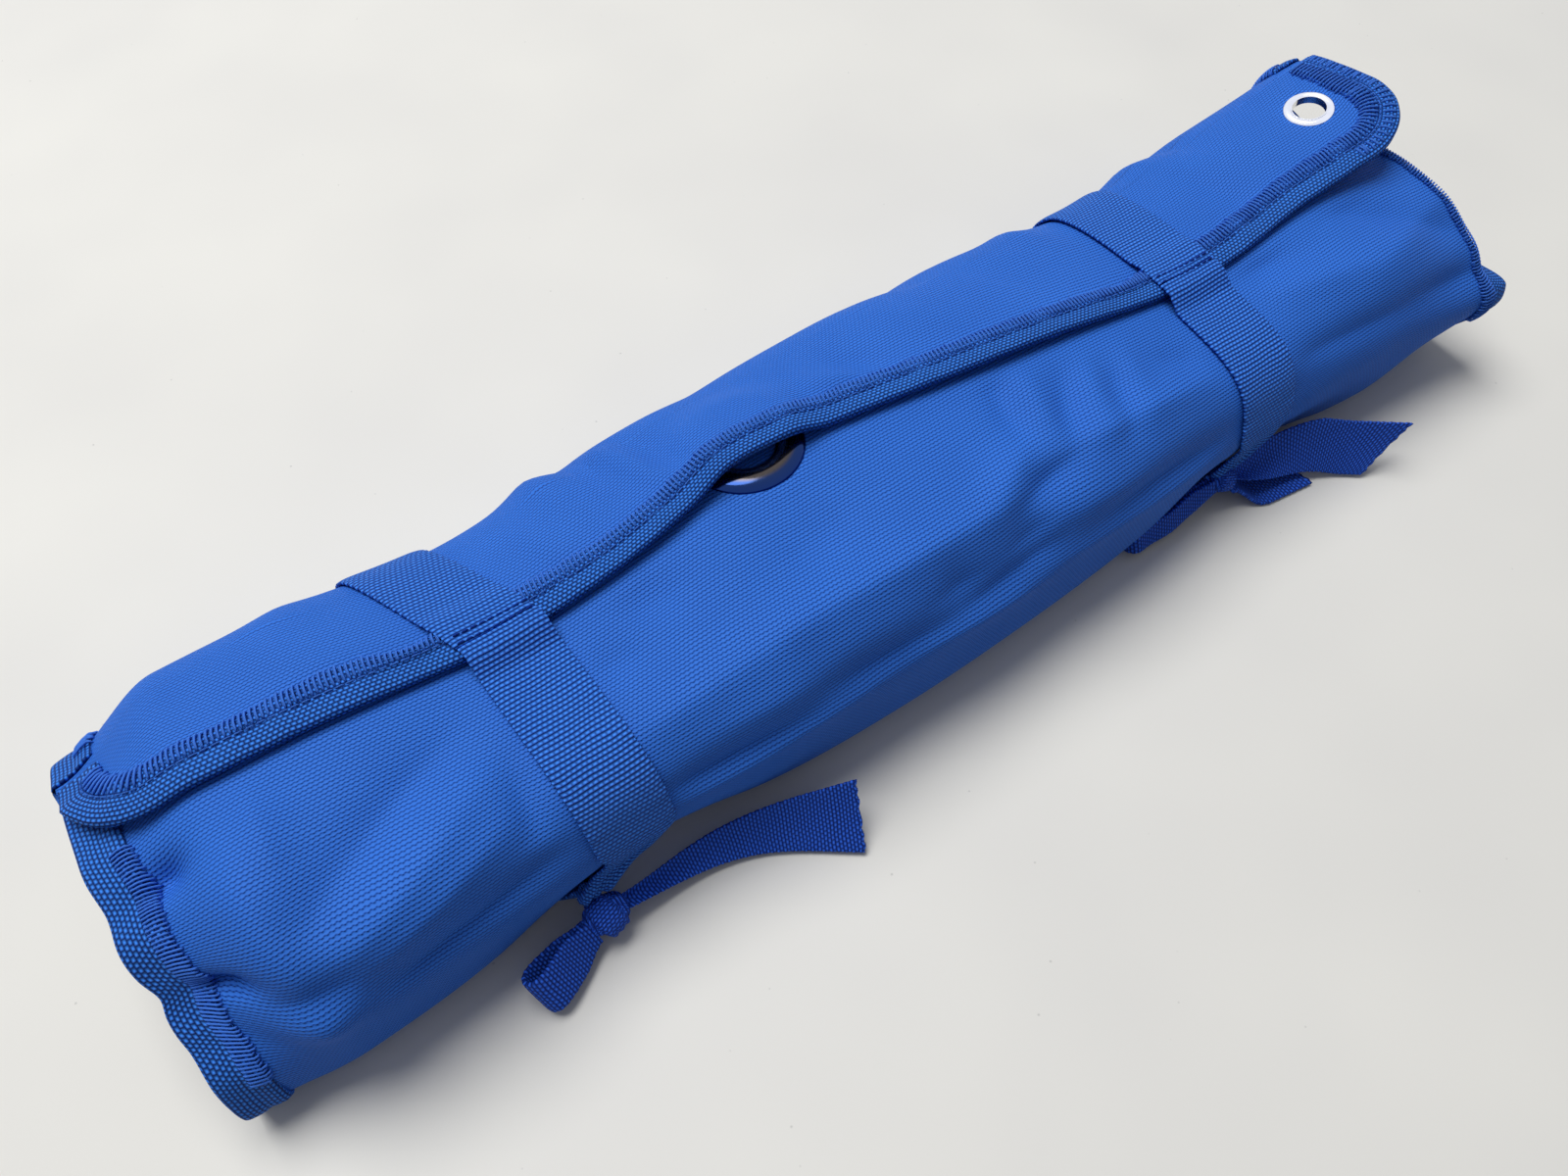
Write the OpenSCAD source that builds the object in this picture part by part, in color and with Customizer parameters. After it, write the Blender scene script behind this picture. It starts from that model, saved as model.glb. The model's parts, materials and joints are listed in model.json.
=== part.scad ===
// Thin foam sleeping pad, rolled up in its fabric cover and tied with two webbing straps.
// +X runs along the roll, -Y is the side of the knots and +Z is up. Z = 0 is the surface it lies on.

/* [Roll] */
// Length of the cover along the roll
roll_l = 500; // [440:5:540]
// Height of the roll between the straps
roll_h = 69; // [64:0.5:74]
// Half of the roll's width from front to back
roll_half_w = 61; // [56:0.5:66]
// How far each strap pulls the top of the roll down
cinch = 8; // [4:0.5:10]
// Squareness of the cross-section, 2 is an ellipse
squareness = 3.4; // [3:0.1:4]

/* [Foam pad] */
// Width of the foam pad along the roll
pad_w = 428; // [400:2:446]
// Thickness of the foam
foam_t = 3.2; // [2.5:0.1:3.6]
// Distance between the foam's turns, centre to centre
turn_pitch = 3.8; // [3.7:0.05:4.2]
// Number of turns that the foam pad makes
foam_turns = 5.5; // [4:0.5:5.5]

/* [Cover] */
// Thickness of the cover's fabric
fabric_t = 1; // [0.8:0.05:1.2]
// Space between two layers that lie on each other
layer_gap = 0.4; // [0.3:0.05:0.6]
// How far round the cover's inner end goes after the first full turn, in degrees
inner_wrap = 140; // [90:5:200]
// Distance of the flap's edge from the roll's middle plane
edge_y = -3; // [-8:0.5:2]
// How far the flap's edge bows back over the large eyelet
edge_bow = 11; // [8:0.5:14]
// Radius of the flap's corners
corner_r = 26; // [20:1:32]
// How far the flap's right-hand corner stands up
corner_lift = 8.5; // [6:0.5:14]

/* [Binding] */
// Width of the folded binding tape
binding_w = 12; // [9:0.5:14]
// Thickness of the tape
tape_t = 0.9; // [0.7:0.05:1]

/* [Straps] */
// Distance of each strap from the middle of the roll
strap_x = 130; // [115:1:140]
// Width of the webbing
strap_w = 25; // [20:0.5:27]
// Thickness of the webbing
strap_t = 1.6; // [1.2:0.05:1.8]
// Free length of the long tails
tail_l = 70; // [60:1:80]
// Length of the right strap's second, short tail
short_tail_l = 34; // [28:1:38]
// Length of the bow loops
loop_l = 32; // [28:1:36]
// Radius of a knot
knot_r = 8; // [7:0.1:9]

/* [Eyelets] */
// Radius of the hole in the corner eyelet
eyelet_hole_r = 6; // [5:0.1:6.4]
// Outside radius of the corner eyelet
eyelet_r = 9.1; // [8.2:0.1:9.8]
// Radius of the hole in the large eyelet
ring_hole_r = 10; // [9:0.5:12]
// Outside radius of the large eyelet
ring_r = 19.5; // [18:0.5:22]

/* [Hidden] */

half_l = roll_l / 2;
blue = [0.07, 0.24, 0.72];
webbing_blue = [0.06, 0.17, 0.70];
foam_grey = [0.33, 0.35, 0.38];
steel = [0.80, 0.80, 0.82];
fold_angle = 50;         // where the flap folds over from the roll's back, round the section
side_l = -1;             // the left-hand strap and corner
side_r = 1;              // the right-hand ones

// ---------------------------------------------------------------- the roll's outer shape

function clamp01(t) = max(0, min(1, t));
function smooth(t) = let (c = clamp01(t)) c * c * (3 - 2 * c);
function bell(x, at, width) = exp(-pow((x - at) / width, 2));
function mix(a, b, t) = a + (b - a) * t;
function power(v, p) = pow(abs(v), p);

cinch_w = 42;            // half width of the dip that a strap makes in the roll
under_w = 28;            // half width of the raised floor over a strap
under_ramp = 18;         // length over which that floor comes down again
function cinched(x) = bell(x, -strap_x, cinch_w) + bell(x, strap_x, cinch_w);
function over_strap(x) = let (d = abs(abs(x) - strap_x)) 1 - smooth((d - under_w) / under_ramp);

// Share of the way into each end, past the filling
left_empty = 34;         // length of empty cloth at the left end
right_empty = 60;        // and at the right end
function left_end(x) = smooth((-half_l + left_empty - x) / left_empty);
function right_end(x) = smooth((x - half_l + right_empty) / right_empty);

// Share of the way onto the hem at either end
hem_gap = 0.25;          // space between a tape and the fabric inside it
hem_t = tape_t + hem_gap;
hem_ramp = 12;           // length over which the cloth rises over a hem
function over_hem(x) = smooth((abs(x) - half_l + binding_w + 2 + hem_ramp) / hem_ramp);

// Lowest and highest point of the section at x. Straps and hems pass under it.
left_drop = 6;           // how much lower the cloth's top is at each end
right_drop = 3;
function floor_z(x) = (strap_t + layer_gap) * over_strap(x) + hem_t * over_hem(x);
function top_z(x) = roll_h - cinch * cinched(x) - left_drop * left_end(x) - right_drop * right_end(x);
function mid_z(x) = (top_z(x) + floor_z(x)) / 2;
function half_h(x) = (top_z(x) - floor_z(x)) / 2;

// Half width on the back side and on the front side. The front bulges most just left of the middle.
front_bulge = 2.5;
bulge_w = 70;            // half width of that bulge along the roll
function back_w(x) = roll_half_w + 1 - 4 * cinched(x) - 9 * left_end(x) - 4 * right_end(x);
function front_w(x) =
    roll_half_w + front_bulge * bell(x, -8, bulge_w) - 3 * cinched(x) - 3 * left_end(x) + 7 * right_end(x);

// Distance of a superellipse from its centre, at the angle a
function outline(a, n) = 1 / pow(power(cos(a), n) + power(sin(a), n), 1 / n);

// The ends are empty cloth: the left one has fallen in at the front, the right one sags at the back
// and is held off the ground at the front. In between, the front's top edge is a soft ridge.
function slack(x, a) =
    let (b = a - 360 * floor(a / 360), filled = 1 - max(left_end(x), right_end(x)))
    1 - 0.42 * left_end(x) * bell(b, 143, 40) - 0.12 * left_end(x) * bell(b, 60, 30)
      + 0.08 * right_end(x) * bell(b, 38, 26) - 0.14 * right_end(x) * bell(b, 140, 28)
      - 0.20 * right_end(x) * bell(b, 222, 30)
      + filled * (0.03 * bell(b, 126, 12) - 0.025 * bell(b, 154, 15))
      - 0.06 * bell(b, 36, 26) - 0.09 * cinched(x) * bell(b, 214, 22);

// A point of the section at x, at the angle a (0 back, 90 top, 180 front) and the depth d under the surface,
// or dz where the depth differs at the top and the bottom
function skin(x, a, d, dz = undef) =
    let (
        n = sin(a) > 0 ? squareness : squareness + 1.6,
        r = outline(a, n) * slack(x, a),
        w = (cos(a) > 0 ? back_w(x) : front_w(x)) - d,
        deep = is_undef(dz) ? d : dz,
        h = half_h(x) - deep,
        lean = 0.045 * smooth(sin(a) * 2) * w * r * cos(a),
        z = mid_z(x) + h * r * sin(a) + lean,
        low = floor_z(x) + deep
    )
    [x, w * r * cos(a), z - low < 0.2 ? low : z];

// The angle at which the section's top passes over y, and its height there, for what lies on it
function angle_at(x, y, from = 20, to = 150, left = 13) =
    let (a = (from + to) / 2)
    left == 0 ? a : skin(x, a, 0)[1] > y ? angle_at(x, y, a, to, left - 1) : angle_at(x, y, from, a, left - 1);
function skin_top(x, y) = skin(x, angle_at(x, y), 0)[2];

// ---------------------------------------------------------------- the flap

flap_end = half_l - 5;   // the flap's right end, drawn in from the cover's
ring_x = -38;            // the large eyelet's place along the roll
ring_shows = 11;         // how much of it looks out in front of the flap's edge
bow_left = 34;           // how far the edge's bow reaches to the left and to the right of it
bow_right = 78;
ring_y = edge_line(ring_x) + ring_r - ring_shows;
binding_h = fabric_t / 2 + hem_t;                     // from the fabric's middle to the binding's face
flap_rise = binding_h + layer_gap + 0.2;              // height of the flap's middle over the skin, at its edge

// The flap's edge, seen from above, with its rounded corners
function edge_line(x) =
    edge_y - 0.044 * x + edge_bow * bell(x, ring_x, x < ring_x ? bow_left : bow_right);
function rounding(x) =
    let (r = corner_r, past = clamp01((x > 0 ? x - flap_end + r : -x - half_l + r) / r))
    r * (1 - sqrt(1 - past * past));
function flap_edge(x) = edge_line(x) + rounding(x);
function flap_fold(x) = skin(x, fold_angle, 0)[1];

// The right-hand corner folds up along a line from the strap's outer side, near the edge, to the flap's end at the fold
corner_from = strap_x + strap_w / 2 + 4;
corner_in = 16;          // how far in from the edge that line starts
function corner_line(x) =
    mix(flap_edge(corner_from) + corner_in, flap_fold(flap_end) - 1.5, (x - corner_from) / (flap_end - corner_from));

// How far the right-hand corner stands up, at the fold and in the flap
corner_ramp = 88;        // how far from the roll's end the corner starts to stand up
function fold_lift(x) = 0.9 * corner_lift * smooth((x - half_l + corner_ramp) / (corner_ramp + 12));

tip_lift = 5;            // and how much more its tip does
tip_ramp = 55;

// The edge stands off the roll between the straps
edge_lift = 1.5;
function lifted(x) = edge_lift * (bell(x, -66, 36) + bell(x, 52, 44));

// Middle surface of the flap
over_ring = 3.2;         // how far it is held up over the large eyelet
function flap_rise_at(x, y) =
    let (f = clamp01((y - flap_edge(x)) / (flap_fold(x) - flap_edge(x))))
    mix(flap_rise + hem_t * over_hem(x), -fabric_t / 2, smooth(f))
    + over_ring * (1 - smooth((norm([x - ring_x, y - ring_y]) - ring_r + 5) / 14))
    + lifted(x) * (1 - f) * (1 - f)
    + fold_lift(x) * (1 + 0.1 * (1 - f))
    + tip_lift * smooth((x - flap_end + tip_ramp) / tip_ramp);
function flap_z(x, y) = skin_top(x, y) + flap_rise_at(x, y);
function flap_point(x, y, up) = [x, y, flap_z(x, y) + up];

// ---------------------------------------------------------------- solids from surfaces

// A closed solid between two grids of points. Rows run along +X and columns round the section.
module plate(outer, inner) {
    n = len(outer);
    m = len(outer[0]);
    o = n * m;
    function id(i, j) = i * m + j;
    points = concat([for (r = outer) each r], [for (r = inner) each r]);
    skins = [for (i = [0 : n - 2], j = [0 : m - 2])
        let (a = id(i, j), b = id(i + 1, j), c = id(i + 1, j + 1), d = id(i, j + 1))
        each [[a, b, c], [a, c, d], [a + o, c + o, b + o], [a + o, d + o, c + o]]];
    sides = [for (i = [0 : n - 2])
        let (a = id(i, 0), b = id(i + 1, 0), c = id(i, m - 1), d = id(i + 1, m - 1))
        each [[a, a + o, b + o], [a, b + o, b], [c, d, d + o], [c, d + o, c + o]]];
    ends = [for (j = [0 : m - 2])
        let (a = id(0, j), b = id(0, j + 1), c = id(n - 1, j), d = id(n - 1, j + 1))
        each [[a, b, b + o], [a, b + o, a + o], [c, c + o, d + o], [c, d + o, d]]];
    polyhedron(points, concat(skins, sides, ends), convexity = 10);
}

function steps(a, b, n) = [for (i = [0 : n]) mix(a, b, i / n)];
function reversed(v) = [for (i = [len(v) - 1 : -1 : 0]) v[i]];

// ---------------------------------------------------------------- foam pad

// Angles round the section are closer together at its corners, and stations along it at the straps
function spaced(t) = t + 6.9 * sin(4 * t);
strap_stations = [20, 50, 70, 88, 102, 116, 130, 144, 158, 176, 198];
function both_ends(v) = concat(-reversed(v), v);

foam_gap = 0.3;          // space between the foam and the cover's two layers
foam_from = 60;          // where the foam's outer end lies, round the section
foam_depth = 2 * (fabric_t + layer_gap) - layer_gap + foam_gap;    // depth of the outer turn's face
core = 1;                // half height of the slot in the middle
foam_deepest = foam_depth + foam_turns * turn_pitch + foam_t;

// The foam is thinnest where the straps press on it
function pressed(x) = (half_h(x) - core) / foam_deepest;
function foam_point(x, t, up) =
    let (d = foam_depth + turn_pitch * (foam_from - t) / 360 + foam_t / 2 - up)
    skin(x, spaced(t), d, d * pressed(x));

module foam_pad() {
    turns = steps(foam_from - 360 * foam_turns, foam_from, 12 * foam_turns);
    along = both_ends(concat(strap_stations, [pad_w / 2]));
    color(foam_grey) plate(
        [for (x = along) [for (t = turns) foam_point(x, t, foam_t / 2)]],
        [for (x = along) [for (t = turns) foam_point(x, t, -foam_t / 2)]]
    );
}

// ---------------------------------------------------------------- cover

// Past the foam the right end is empty, and its layer under the flap sags into it
sag_depth = 24;
sag_at = fold_angle - 354;
sag_w = 21;              // half width of the sag round the section
under_span = 60;         // how far that layer reaches to either side of the sag's middle
sag_reach = max(8, half_l - binding_w - 2 - pad_w / 2);
function sag(x, a) = sag_depth * sin(90 * clamp01((x - pad_w / 2) / sag_reach)) * bell(a, sag_at, sag_w);

// The left end's edge is drawn in, in scallops: [angle round the section, half width, depth]
scallops = [[98, 9, 2.5], [136, 10, 3.5], [172, 13, 1.5]];
scallop_reach = 30;      // how far along the roll the cloth beside the hem is drawn in with them
function drawn_back(x, a) =
    let (b = a - 360 * floor(a / 360))
    smooth((-half_l + binding_w + 2 + scallop_reach - x) / scallop_reach)
    * ([for (s = scallops) s[2] * bell(b, s[0], s[1])] * [for (s = scallops) 1]);

// Under the flap the sheet lies flat where the large eyelet is set in it
seat_depth = 1.4;        // how deep its plane lies under the roll's surface, at the eyelet's middle
seat_w = 5.5;             // width over which the sheet comes back to the roll's shape
ring_slope = (skin_top(ring_x, ring_y + ring_r) - skin_top(ring_x, ring_y - ring_r)) / (2 * ring_r);
ring_z = skin_top(ring_x, ring_y) - seat_depth;
function ring_plane(y) = ring_z + ring_slope * (y - ring_y);
function seated(x, y) = 1 - smooth((norm([x - ring_x, y - ring_y]) - ring_r - 1) / seat_w);

// Depth of the sheet's outer face: it dives under the flap and then under its own first turn,
// and deeper at the ends, where its hem is thick
function sheet_depth(x, a) =
    (fabric_t + layer_gap + 2 * hem_t * over_hem(x)) * smooth((fold_angle - 300 - a) / 60) + sag(x, a);
function sheet_point(x, a, up) =
    let (
        p = skin(x, a, sheet_depth(x, a) - up)
            + [drawn_back(x, a), 0, fold_lift(x) * smooth((a - 5) / (fold_angle - 5))]
    )
    abs(a - sag_at) < under_span ? [p[0], p[1], mix(p[2], ring_plane(p[1]) + up, seated(p[0], p[1]))] : p;
sheet_inner_end = fold_angle - 360 - inner_wrap;
sheet_angles = concat(
    [sheet_inner_end],
    [for (t = steps(sheet_inner_end, fold_angle, 48)) let (a = spaced(t)) if (a > sheet_inner_end + 3 && a < fold_angle - 4) a],
    [fold_angle - 1]
);
function with(stations, x) = concat([for (s = stations) if (s < x - 4) s], [x], [for (s = stations) if (s > x + 4) s]);
sheet_stations = with(with(with(
    both_ends(concat(strap_stations, [half_l - 36, half_l - 22, half_l - binding_w, half_l])),
    ring_x - ring_r - 1), ring_x), ring_x + ring_r + 1);

module cover_sheet() {
    color(blue) difference() {
        plate(
            [for (x = sheet_stations) [for (a = sheet_angles) sheet_point(x, a, 0)]],
            [for (x = sheet_stations) [for (a = sheet_angles) sheet_point(x, a, -fabric_t)]]
        );
        at_large_eyelet() cylinder(r = ring_hole_r + 0.8, h = 8, center = true, $fn = 32);
    }
}

module flap_piece(xs, low, high) {
    across = steps(0, 1, 8);
    color(blue) plate(
        [for (x = xs) [for (f = across) flap_point(x, mix(high(x), low(x), f), fabric_t / 2)]],
        [for (x = xs) [for (f = across) flap_point(x, mix(high(x), low(x), f), -fabric_t / 2)]]
    );
}

cut = 0.4;               // half of the space along the corner's fold line

// Places along the flap's edge: between the straps, and past a strap with the corner's bend up to the given part
edge_stations = steps(-corner_from + 0.5, corner_from - 0.5, 38);
function end_stations(bend, end) = concat(
    steps(corner_from + 1, end - corner_r - 6, 8),
    [for (t = steps(0, bend, 8)) end - corner_r * (1 - sin(86 * t))]
);

module flap() {
    flap_piece(
        concat(-reversed(end_stations(0.94, half_l)), edge_stations, steps(corner_from, flap_end - 10, 5), [flap_end]),
        function(x) x < corner_from - 0.1 ? flap_edge(x) : corner_line(x) + cut,
        function(x) flap_fold(x)
    );
}

module right_flap_corner() {
    color(blue) difference() {
        flap_piece(concat(end_stations(1, flap_end), [flap_end]), function(x) flap_edge(x), function(x) corner_line(x) - cut);
        at_corner_eyelet() cylinder(r = eyelet_hole_r + 0.5, h = 12, center = true, $fn = 32);
    }
}

// The space over and under the corner, wider by the given amount at its fold line
module corner_space(wider) {
    far = half_l + 10;
    translate([0, 0, roll_h / 2]) linear_extrude(height = roll_h) polygon([
        [corner_from - wider, -far], [corner_from - wider, corner_line(corner_from) + wider],
        [far, corner_line(far) + wider], [far, -far]
    ]);
}

// ---------------------------------------------------------------- binding tape

// The tape's section round a fabric edge, as [distance in from the edge, height over the fabric's middle]
tape_in = fabric_t / 2 + hem_gap;
tape_out = tape_in + tape_t;
function tape_outer() = [
    [binding_w, tape_out], [0, tape_out], [-tape_t * 1.2, tape_out * 0.5],
    [-tape_t * 1.2, -tape_out * 0.5], [0, -tape_out], [binding_w, -tape_out]
];
function tape_inner() = [
    [binding_w, tape_in], [-0.1, tape_in], [-0.3, tape_in * 0.5],
    [-0.3, -tape_in * 0.5], [-0.1, -tape_in], [binding_w, -tape_in]
];
// Tape along the flap's edge. Its rows are places on the edge, and the tape reaches in square to the edge.
module edge_tape(xs) {
    function inward(x) =
        let (s = (flap_edge(min(x + 0.2, flap_end)) - flap_edge(max(x - 0.2, -half_l))) / 0.4)
        [-s, 1] / norm([-s, 1]);
    function row(x, section) = [for (p = section)
        let (v = inward(x), q = [x, flap_edge(x)] + p[0] * v)
        flap_point(q[0], q[1], p[1])];
    color(blue) plate([for (x = xs) row(x, tape_outer())], [for (x = xs) row(x, tape_inner())]);
}

module flap_binding() {
    difference() {
        edge_tape(concat(-reversed(end_stations(0.8, half_l)), edge_stations, steps(corner_from + 5, corner_from + 15, 2)));
        corner_space(cut);
    }
}

module right_corner_binding() {
    intersection() {
        edge_tape(concat([corner_from - 2], end_stations(1, flap_end)));
        corner_space(-cut);
    }
}

// Tape round the sheet's end, from the flap's fold along the sheet to its inner end
module end_tape(side) {
    round = [for (a = sheet_angles) if (a < fold_angle - 6) a];
    function rows(section) = [for (p = side > 0 ? section : reversed(section)) [for (a = round)
        sheet_point(side * (half_l - p[0]), a, p[1] - fabric_t / 2)]];
    color(blue) plate(rows(tape_outer()), rows(tape_inner()));
}

module left_end_binding() { end_tape(side_l); }
module right_end_binding() { end_tape(side_r); }

// ---------------------------------------------------------------- eyelets

// The corner eyelet sits just in front of the corner's fold line
eyelet_x = flap_end - 26;
eyelet_y = corner_line(eyelet_x)
    - (eyelet_r + 1.4) * norm([flap_end - corner_from, corner_line(flap_end) - corner_line(corner_from)]) / (flap_end - corner_from);

// Moves its children to a point of the flap, with +Z along the cloth's normal
module on_flap(x, y) {
    e = 4;
    slope_x = (flap_z(x + e, y) - flap_z(x - e, y)) / (2 * e);
    slope_y = (flap_z(x, y + e) - flap_z(x, y - e)) / (2 * e);
    n = [-slope_x, -slope_y, 1] / norm([-slope_x, -slope_y, 1]);
    translate([x, y, flap_z(x, y)]) rotate([-asin(n[1]), atan2(n[0], n[2]), 0]) children();
}
module at_corner_eyelet() { on_flap(eyelet_x, eyelet_y) children(); }

module corner_eyelet() {
    color(steel) at_corner_eyelet() rotate_extrude($fn = 64) translate([eyelet_hole_r, 0]) {
        flange = eyelet_r - eyelet_hole_r;
        translate([0, -fabric_t / 2 - 0.9]) square([0.4, fabric_t + 1.8]);
        intersection() {
            translate([flange / 2, fabric_t / 2]) scale([flange / 2, 1.3]) circle(r = 1, $fn = 48);
            translate([0, fabric_t / 2]) square([flange, 2]);
        }
    }
}

module corner_eyelet_washer() {
    color(steel) at_corner_eyelet() rotate_extrude($fn = 64)
        translate([eyelet_hole_r + 0.45, -fabric_t / 2 - 0.7]) square([eyelet_r - eyelet_hole_r - 0.45, 0.7]);
}

// The large eyelet is set in the layer under the flap, and its front edge looks out from under the flap

ring_h = 2.6;
module at_large_eyelet() {
    translate([ring_x, ring_y, ring_z]) rotate([atan(ring_slope), 0, 0]) children();
}

module large_eyelet() {
    flange = ring_r - ring_hole_r;
    color(steel) at_large_eyelet() rotate_extrude($fn = 96) translate([ring_hole_r, 0]) {
        translate([0, -fabric_t - 0.6]) square([0.5, fabric_t + 0.6]);
        intersection() {
            translate([flange / 2, 0]) scale([flange / 2, ring_h]) circle(r = 1, $fn = 48);
            square([flange, ring_h + 1]);
        }
    }
}

module large_eyelet_washer() {
    color(steel) at_large_eyelet() rotate_extrude($fn = 96)
        translate([ring_hole_r + 0.55, -fabric_t - 0.6]) square([ring_r - ring_hole_r - 2, 0.5]);
}

// ---------------------------------------------------------------- straps

// How far a strap leans along the roll for each millimetre of Y, in front of its seam and behind it
function front_lean(side) = side < 0 ? -0.045 : 0.04;
function back_lean(side) = side < 0 ? -0.38 : 0.04;
function seam_y(side) = flap_edge(side * strap_x);

knot_angle = 209;        // where the knots sit, round the section
function wall_y(side, a) = skin(side * strap_x, a, 0)[1];
function strap_back_x(side) = side * strap_x + back_lean(side) * (wall_y(side, 0) - seam_y(side));
function strap_front_x(side) = side * strap_x + front_lean(side) * (wall_y(side, 180) - seam_y(side));

function knot_shift(side) = side < 0 ? -12 : -9;    // from the strap's middle to its knot

// Middle of the strap along the roll, at the angle a. Negative angles go down the back and under the roll.
function strap_mid_x(side, a) =
    a > 90 || (a > 0 && wall_y(side, a) < seam_y(side))
    ? side * strap_x + front_lean(side) * (max(wall_y(side, a), wall_y(side, 180)) - seam_y(side))
      + knot_shift(side) * smooth((a - 178) / 30)
    : a > 0 ? side * strap_x + back_lean(side) * (wall_y(side, a) - seam_y(side))
    : mix(strap_back_x(side), strap_front_x(side) + knot_shift(side), smooth((-20 - a) / 120));

// How far a strap is held off the skin by the flap and its binding
function over_flap(x, y) =
    let (
        e = flap_edge(x),
        on = flap_rise_at(x, max(y, e)) + mix(tape_out, fabric_t / 2, smooth((y - e - binding_w) / 6)) + 0.3
    )
    max(0, on) * (1 - smooth((e - 2 - y) / 8));

function strap_point(x, a, up) =
    let (p = skin(x, a, -layer_gap - up))
    p + [0, 0, sin(a) > 0.5 ? over_flap(x, p[1]) * smooth(sin(a) * 4 - 2) : 0];

// Share of the strap's width that is left where it is drawn into the knot
function drawn_in(a) = 1 - 0.55 * smooth((a - 182) / 24) - 0.55 * smooth((-128 - a) / 20);

module strap(side, angles) {
    function row(k, up) = [for (a = angles)
        strap_point(strap_mid_x(side, a) + k * strap_w / 2 * drawn_in(a), a, up)];
    color(webbing_blue) plate([for (k = [-1, -0.33, 0.33, 1]) row(k, strap_t)],
                              [for (k = [-1, -0.33, 0.33, 1]) row(k, 0)]);
}

// The angle at which a strap crosses the flap's edge
function seam_angle(side) = acos(seam_y(side) / roll_half_w) - 2;
module strap_back(side) {
    strap(side, concat(steps(knot_angle - 360 + 1, 30, 30), steps(36, seam_angle(side) - 0.3, 8)));
}
module strap_front(side) {
    strap(side, concat(steps(seam_angle(side) + 0.3, 112, 8), steps(117, knot_angle - 1, 14)));
}
module left_strap_back() { strap_back(side_l); }
module left_strap_front() { strap_front(side_l); }
module right_strap_back() { strap_back(side_r); }
module right_strap_front() { strap_front(side_r); }

// ---------------------------------------------------------------- knots, tails and loops

nest = 0.5;              // how far a knot sits into the curve under the roll's front
function knot_at(side) =
    skin(strap_front_x(side) + knot_shift(side), knot_angle, -(2 * layer_gap + strap_t + knot_r - nest));

module knot(side) {
    wrap_r = knot_r * 0.36;
    color(webbing_blue) translate(knot_at(side)) {
        sphere(r = knot_r * 0.94, $fn = 24);
        for (turn = [35, -35])
            rotate([0, turn, 0]) rotate_extrude($fn = 24)
                translate([knot_r - wrap_r, 0]) circle(r = wrap_r, $fn = 12);
    }
}
module left_knot() { knot(side_l); }
module right_knot() { knot(side_r); }

// A ribbon of webbing along a path. Each row is [centre, direction across, half width].
module ribbon(rows) {
    last = len(rows) - 1;
    function along(i) = let (v = rows[min(i + 1, last)][0] - rows[max(i - 1, 0)][0]) v / norm(v);
    function normal(i) = let (v = cross(along(i), rows[i][1])) v / norm(v);
    function face(up) = [for (i = [0 : last]) [for (k = [-1, 0, 1])
        rows[i][0] + k * rows[i][2] * rows[i][1] + up * normal(i)]];
    color(webbing_blue) plate(face(-strap_t / 2), face(strap_t / 2));
}

// Direction across a ribbon that heads along h, tipped up by roll degrees on its far side
function across(h, roll) = [-sin(h) * cos(roll), cos(h) * cos(roll), sin(roll)];

out_of_knot = knot_r + 0.1;    // distance of a tail's or a loop's start from the knot's centre
lift_off = 0.4;          // lowest edge of a tail over the floor

// A tail leaves the knot narrow, opens to its full width and comes down to the floor.
// Its lower edge stays at the height over until it is past half of its length.
module tail(side, heading, bend, length, roll, wide, over) {
    k = knot_at(side);
    n = 12;
    function head(t) = heading + bend * t;
    function place(i) = i == 0 ? k + out_of_knot * [cos(heading), sin(heading), 0]
                               : place(i - 1) + length / n * [cos(head(i / n)), sin(head(i / n)), 0];
    function half(t) = strap_w / 2 * mix(0.42, wide, smooth(t * 2.2));
    function tip(t) = mix(25, roll, smooth(t * 2));
    function low(t) = mix(over, lift_off, smooth((t - 0.5) / 0.3));
    function height(t) = half(t) * sin(tip(t)) + strap_t / 2 + low(t);
    ribbon([for (i = [0 : n])
        let (t = i / n, p = place(i))
        [[p[0], p[1], height(t) + (k[2] - height(0)) * pow(1 - t, 3)], across(head(t), tip(t)), half(t)]]);
}

module left_tail() { tail(side_l, -7, -20, tail_l, 50, 1, lift_off); }
module right_tail() { tail(side_r, -11, -24, tail_l - 4, 58, 0.86, strap_t + 3 * lift_off); }

// The short tail comes out under the long one and lies flat
module right_short_tail() {
    k = knot_at(side_r);
    heading = -14;
    under = 5;
    start = sqrt(knot_r * knot_r - under * under) + 1.1;
    ribbon([for (t = steps(0, 1, 8))
        [[k[0], k[1], mix(k[2] - under, strap_t / 2 + lift_off, smooth(t / 0.4))]
         + (start + t * (short_tail_l + out_of_knot - start)) * [cos(heading), sin(heading), 0],
         across(heading, 0), strap_w / 2 * mix(0.4, 0.9, smooth(t * 2))]]);
}

// A bow loop: the webbing goes out from the knot, turns over at the end and comes back under itself
module loop(side, heading, roll, wide, length) {
    k = knot_at(side);
    w = across(heading, roll);
    out = [cos(heading), sin(heading), 0];
    up = cross(out, w);
    open = 3.4;
    legs = steps(0, 1, 7);
    half = strap_w / 2 * wide;
    z = half * sin(abs(roll)) + (open + strap_t / 2) * cos(roll) + lift_off;
    // [distance from the knot, distance from the loop's middle, height over its lowest place]
    function leg(t, face) =
        [out_of_knot + t * (length - open), face * mix(strap_t / 2 + 0.2, open, smooth(t)), (k[2] - z) * pow(1 - t, 2)];
    path = concat(
        [for (t = legs) leg(t, 1)],
        [for (b = [60, 30, 0, -30, -60]) [out_of_knot + length - open + open * cos(b), open * sin(b), 0]],
        [for (t = reversed(legs)) leg(t, -1)]
    );
    ribbon([for (q = path) [[k[0], k[1], z + q[2]] + q[0] * out + q[1] * up, w, half]]);
}

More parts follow.
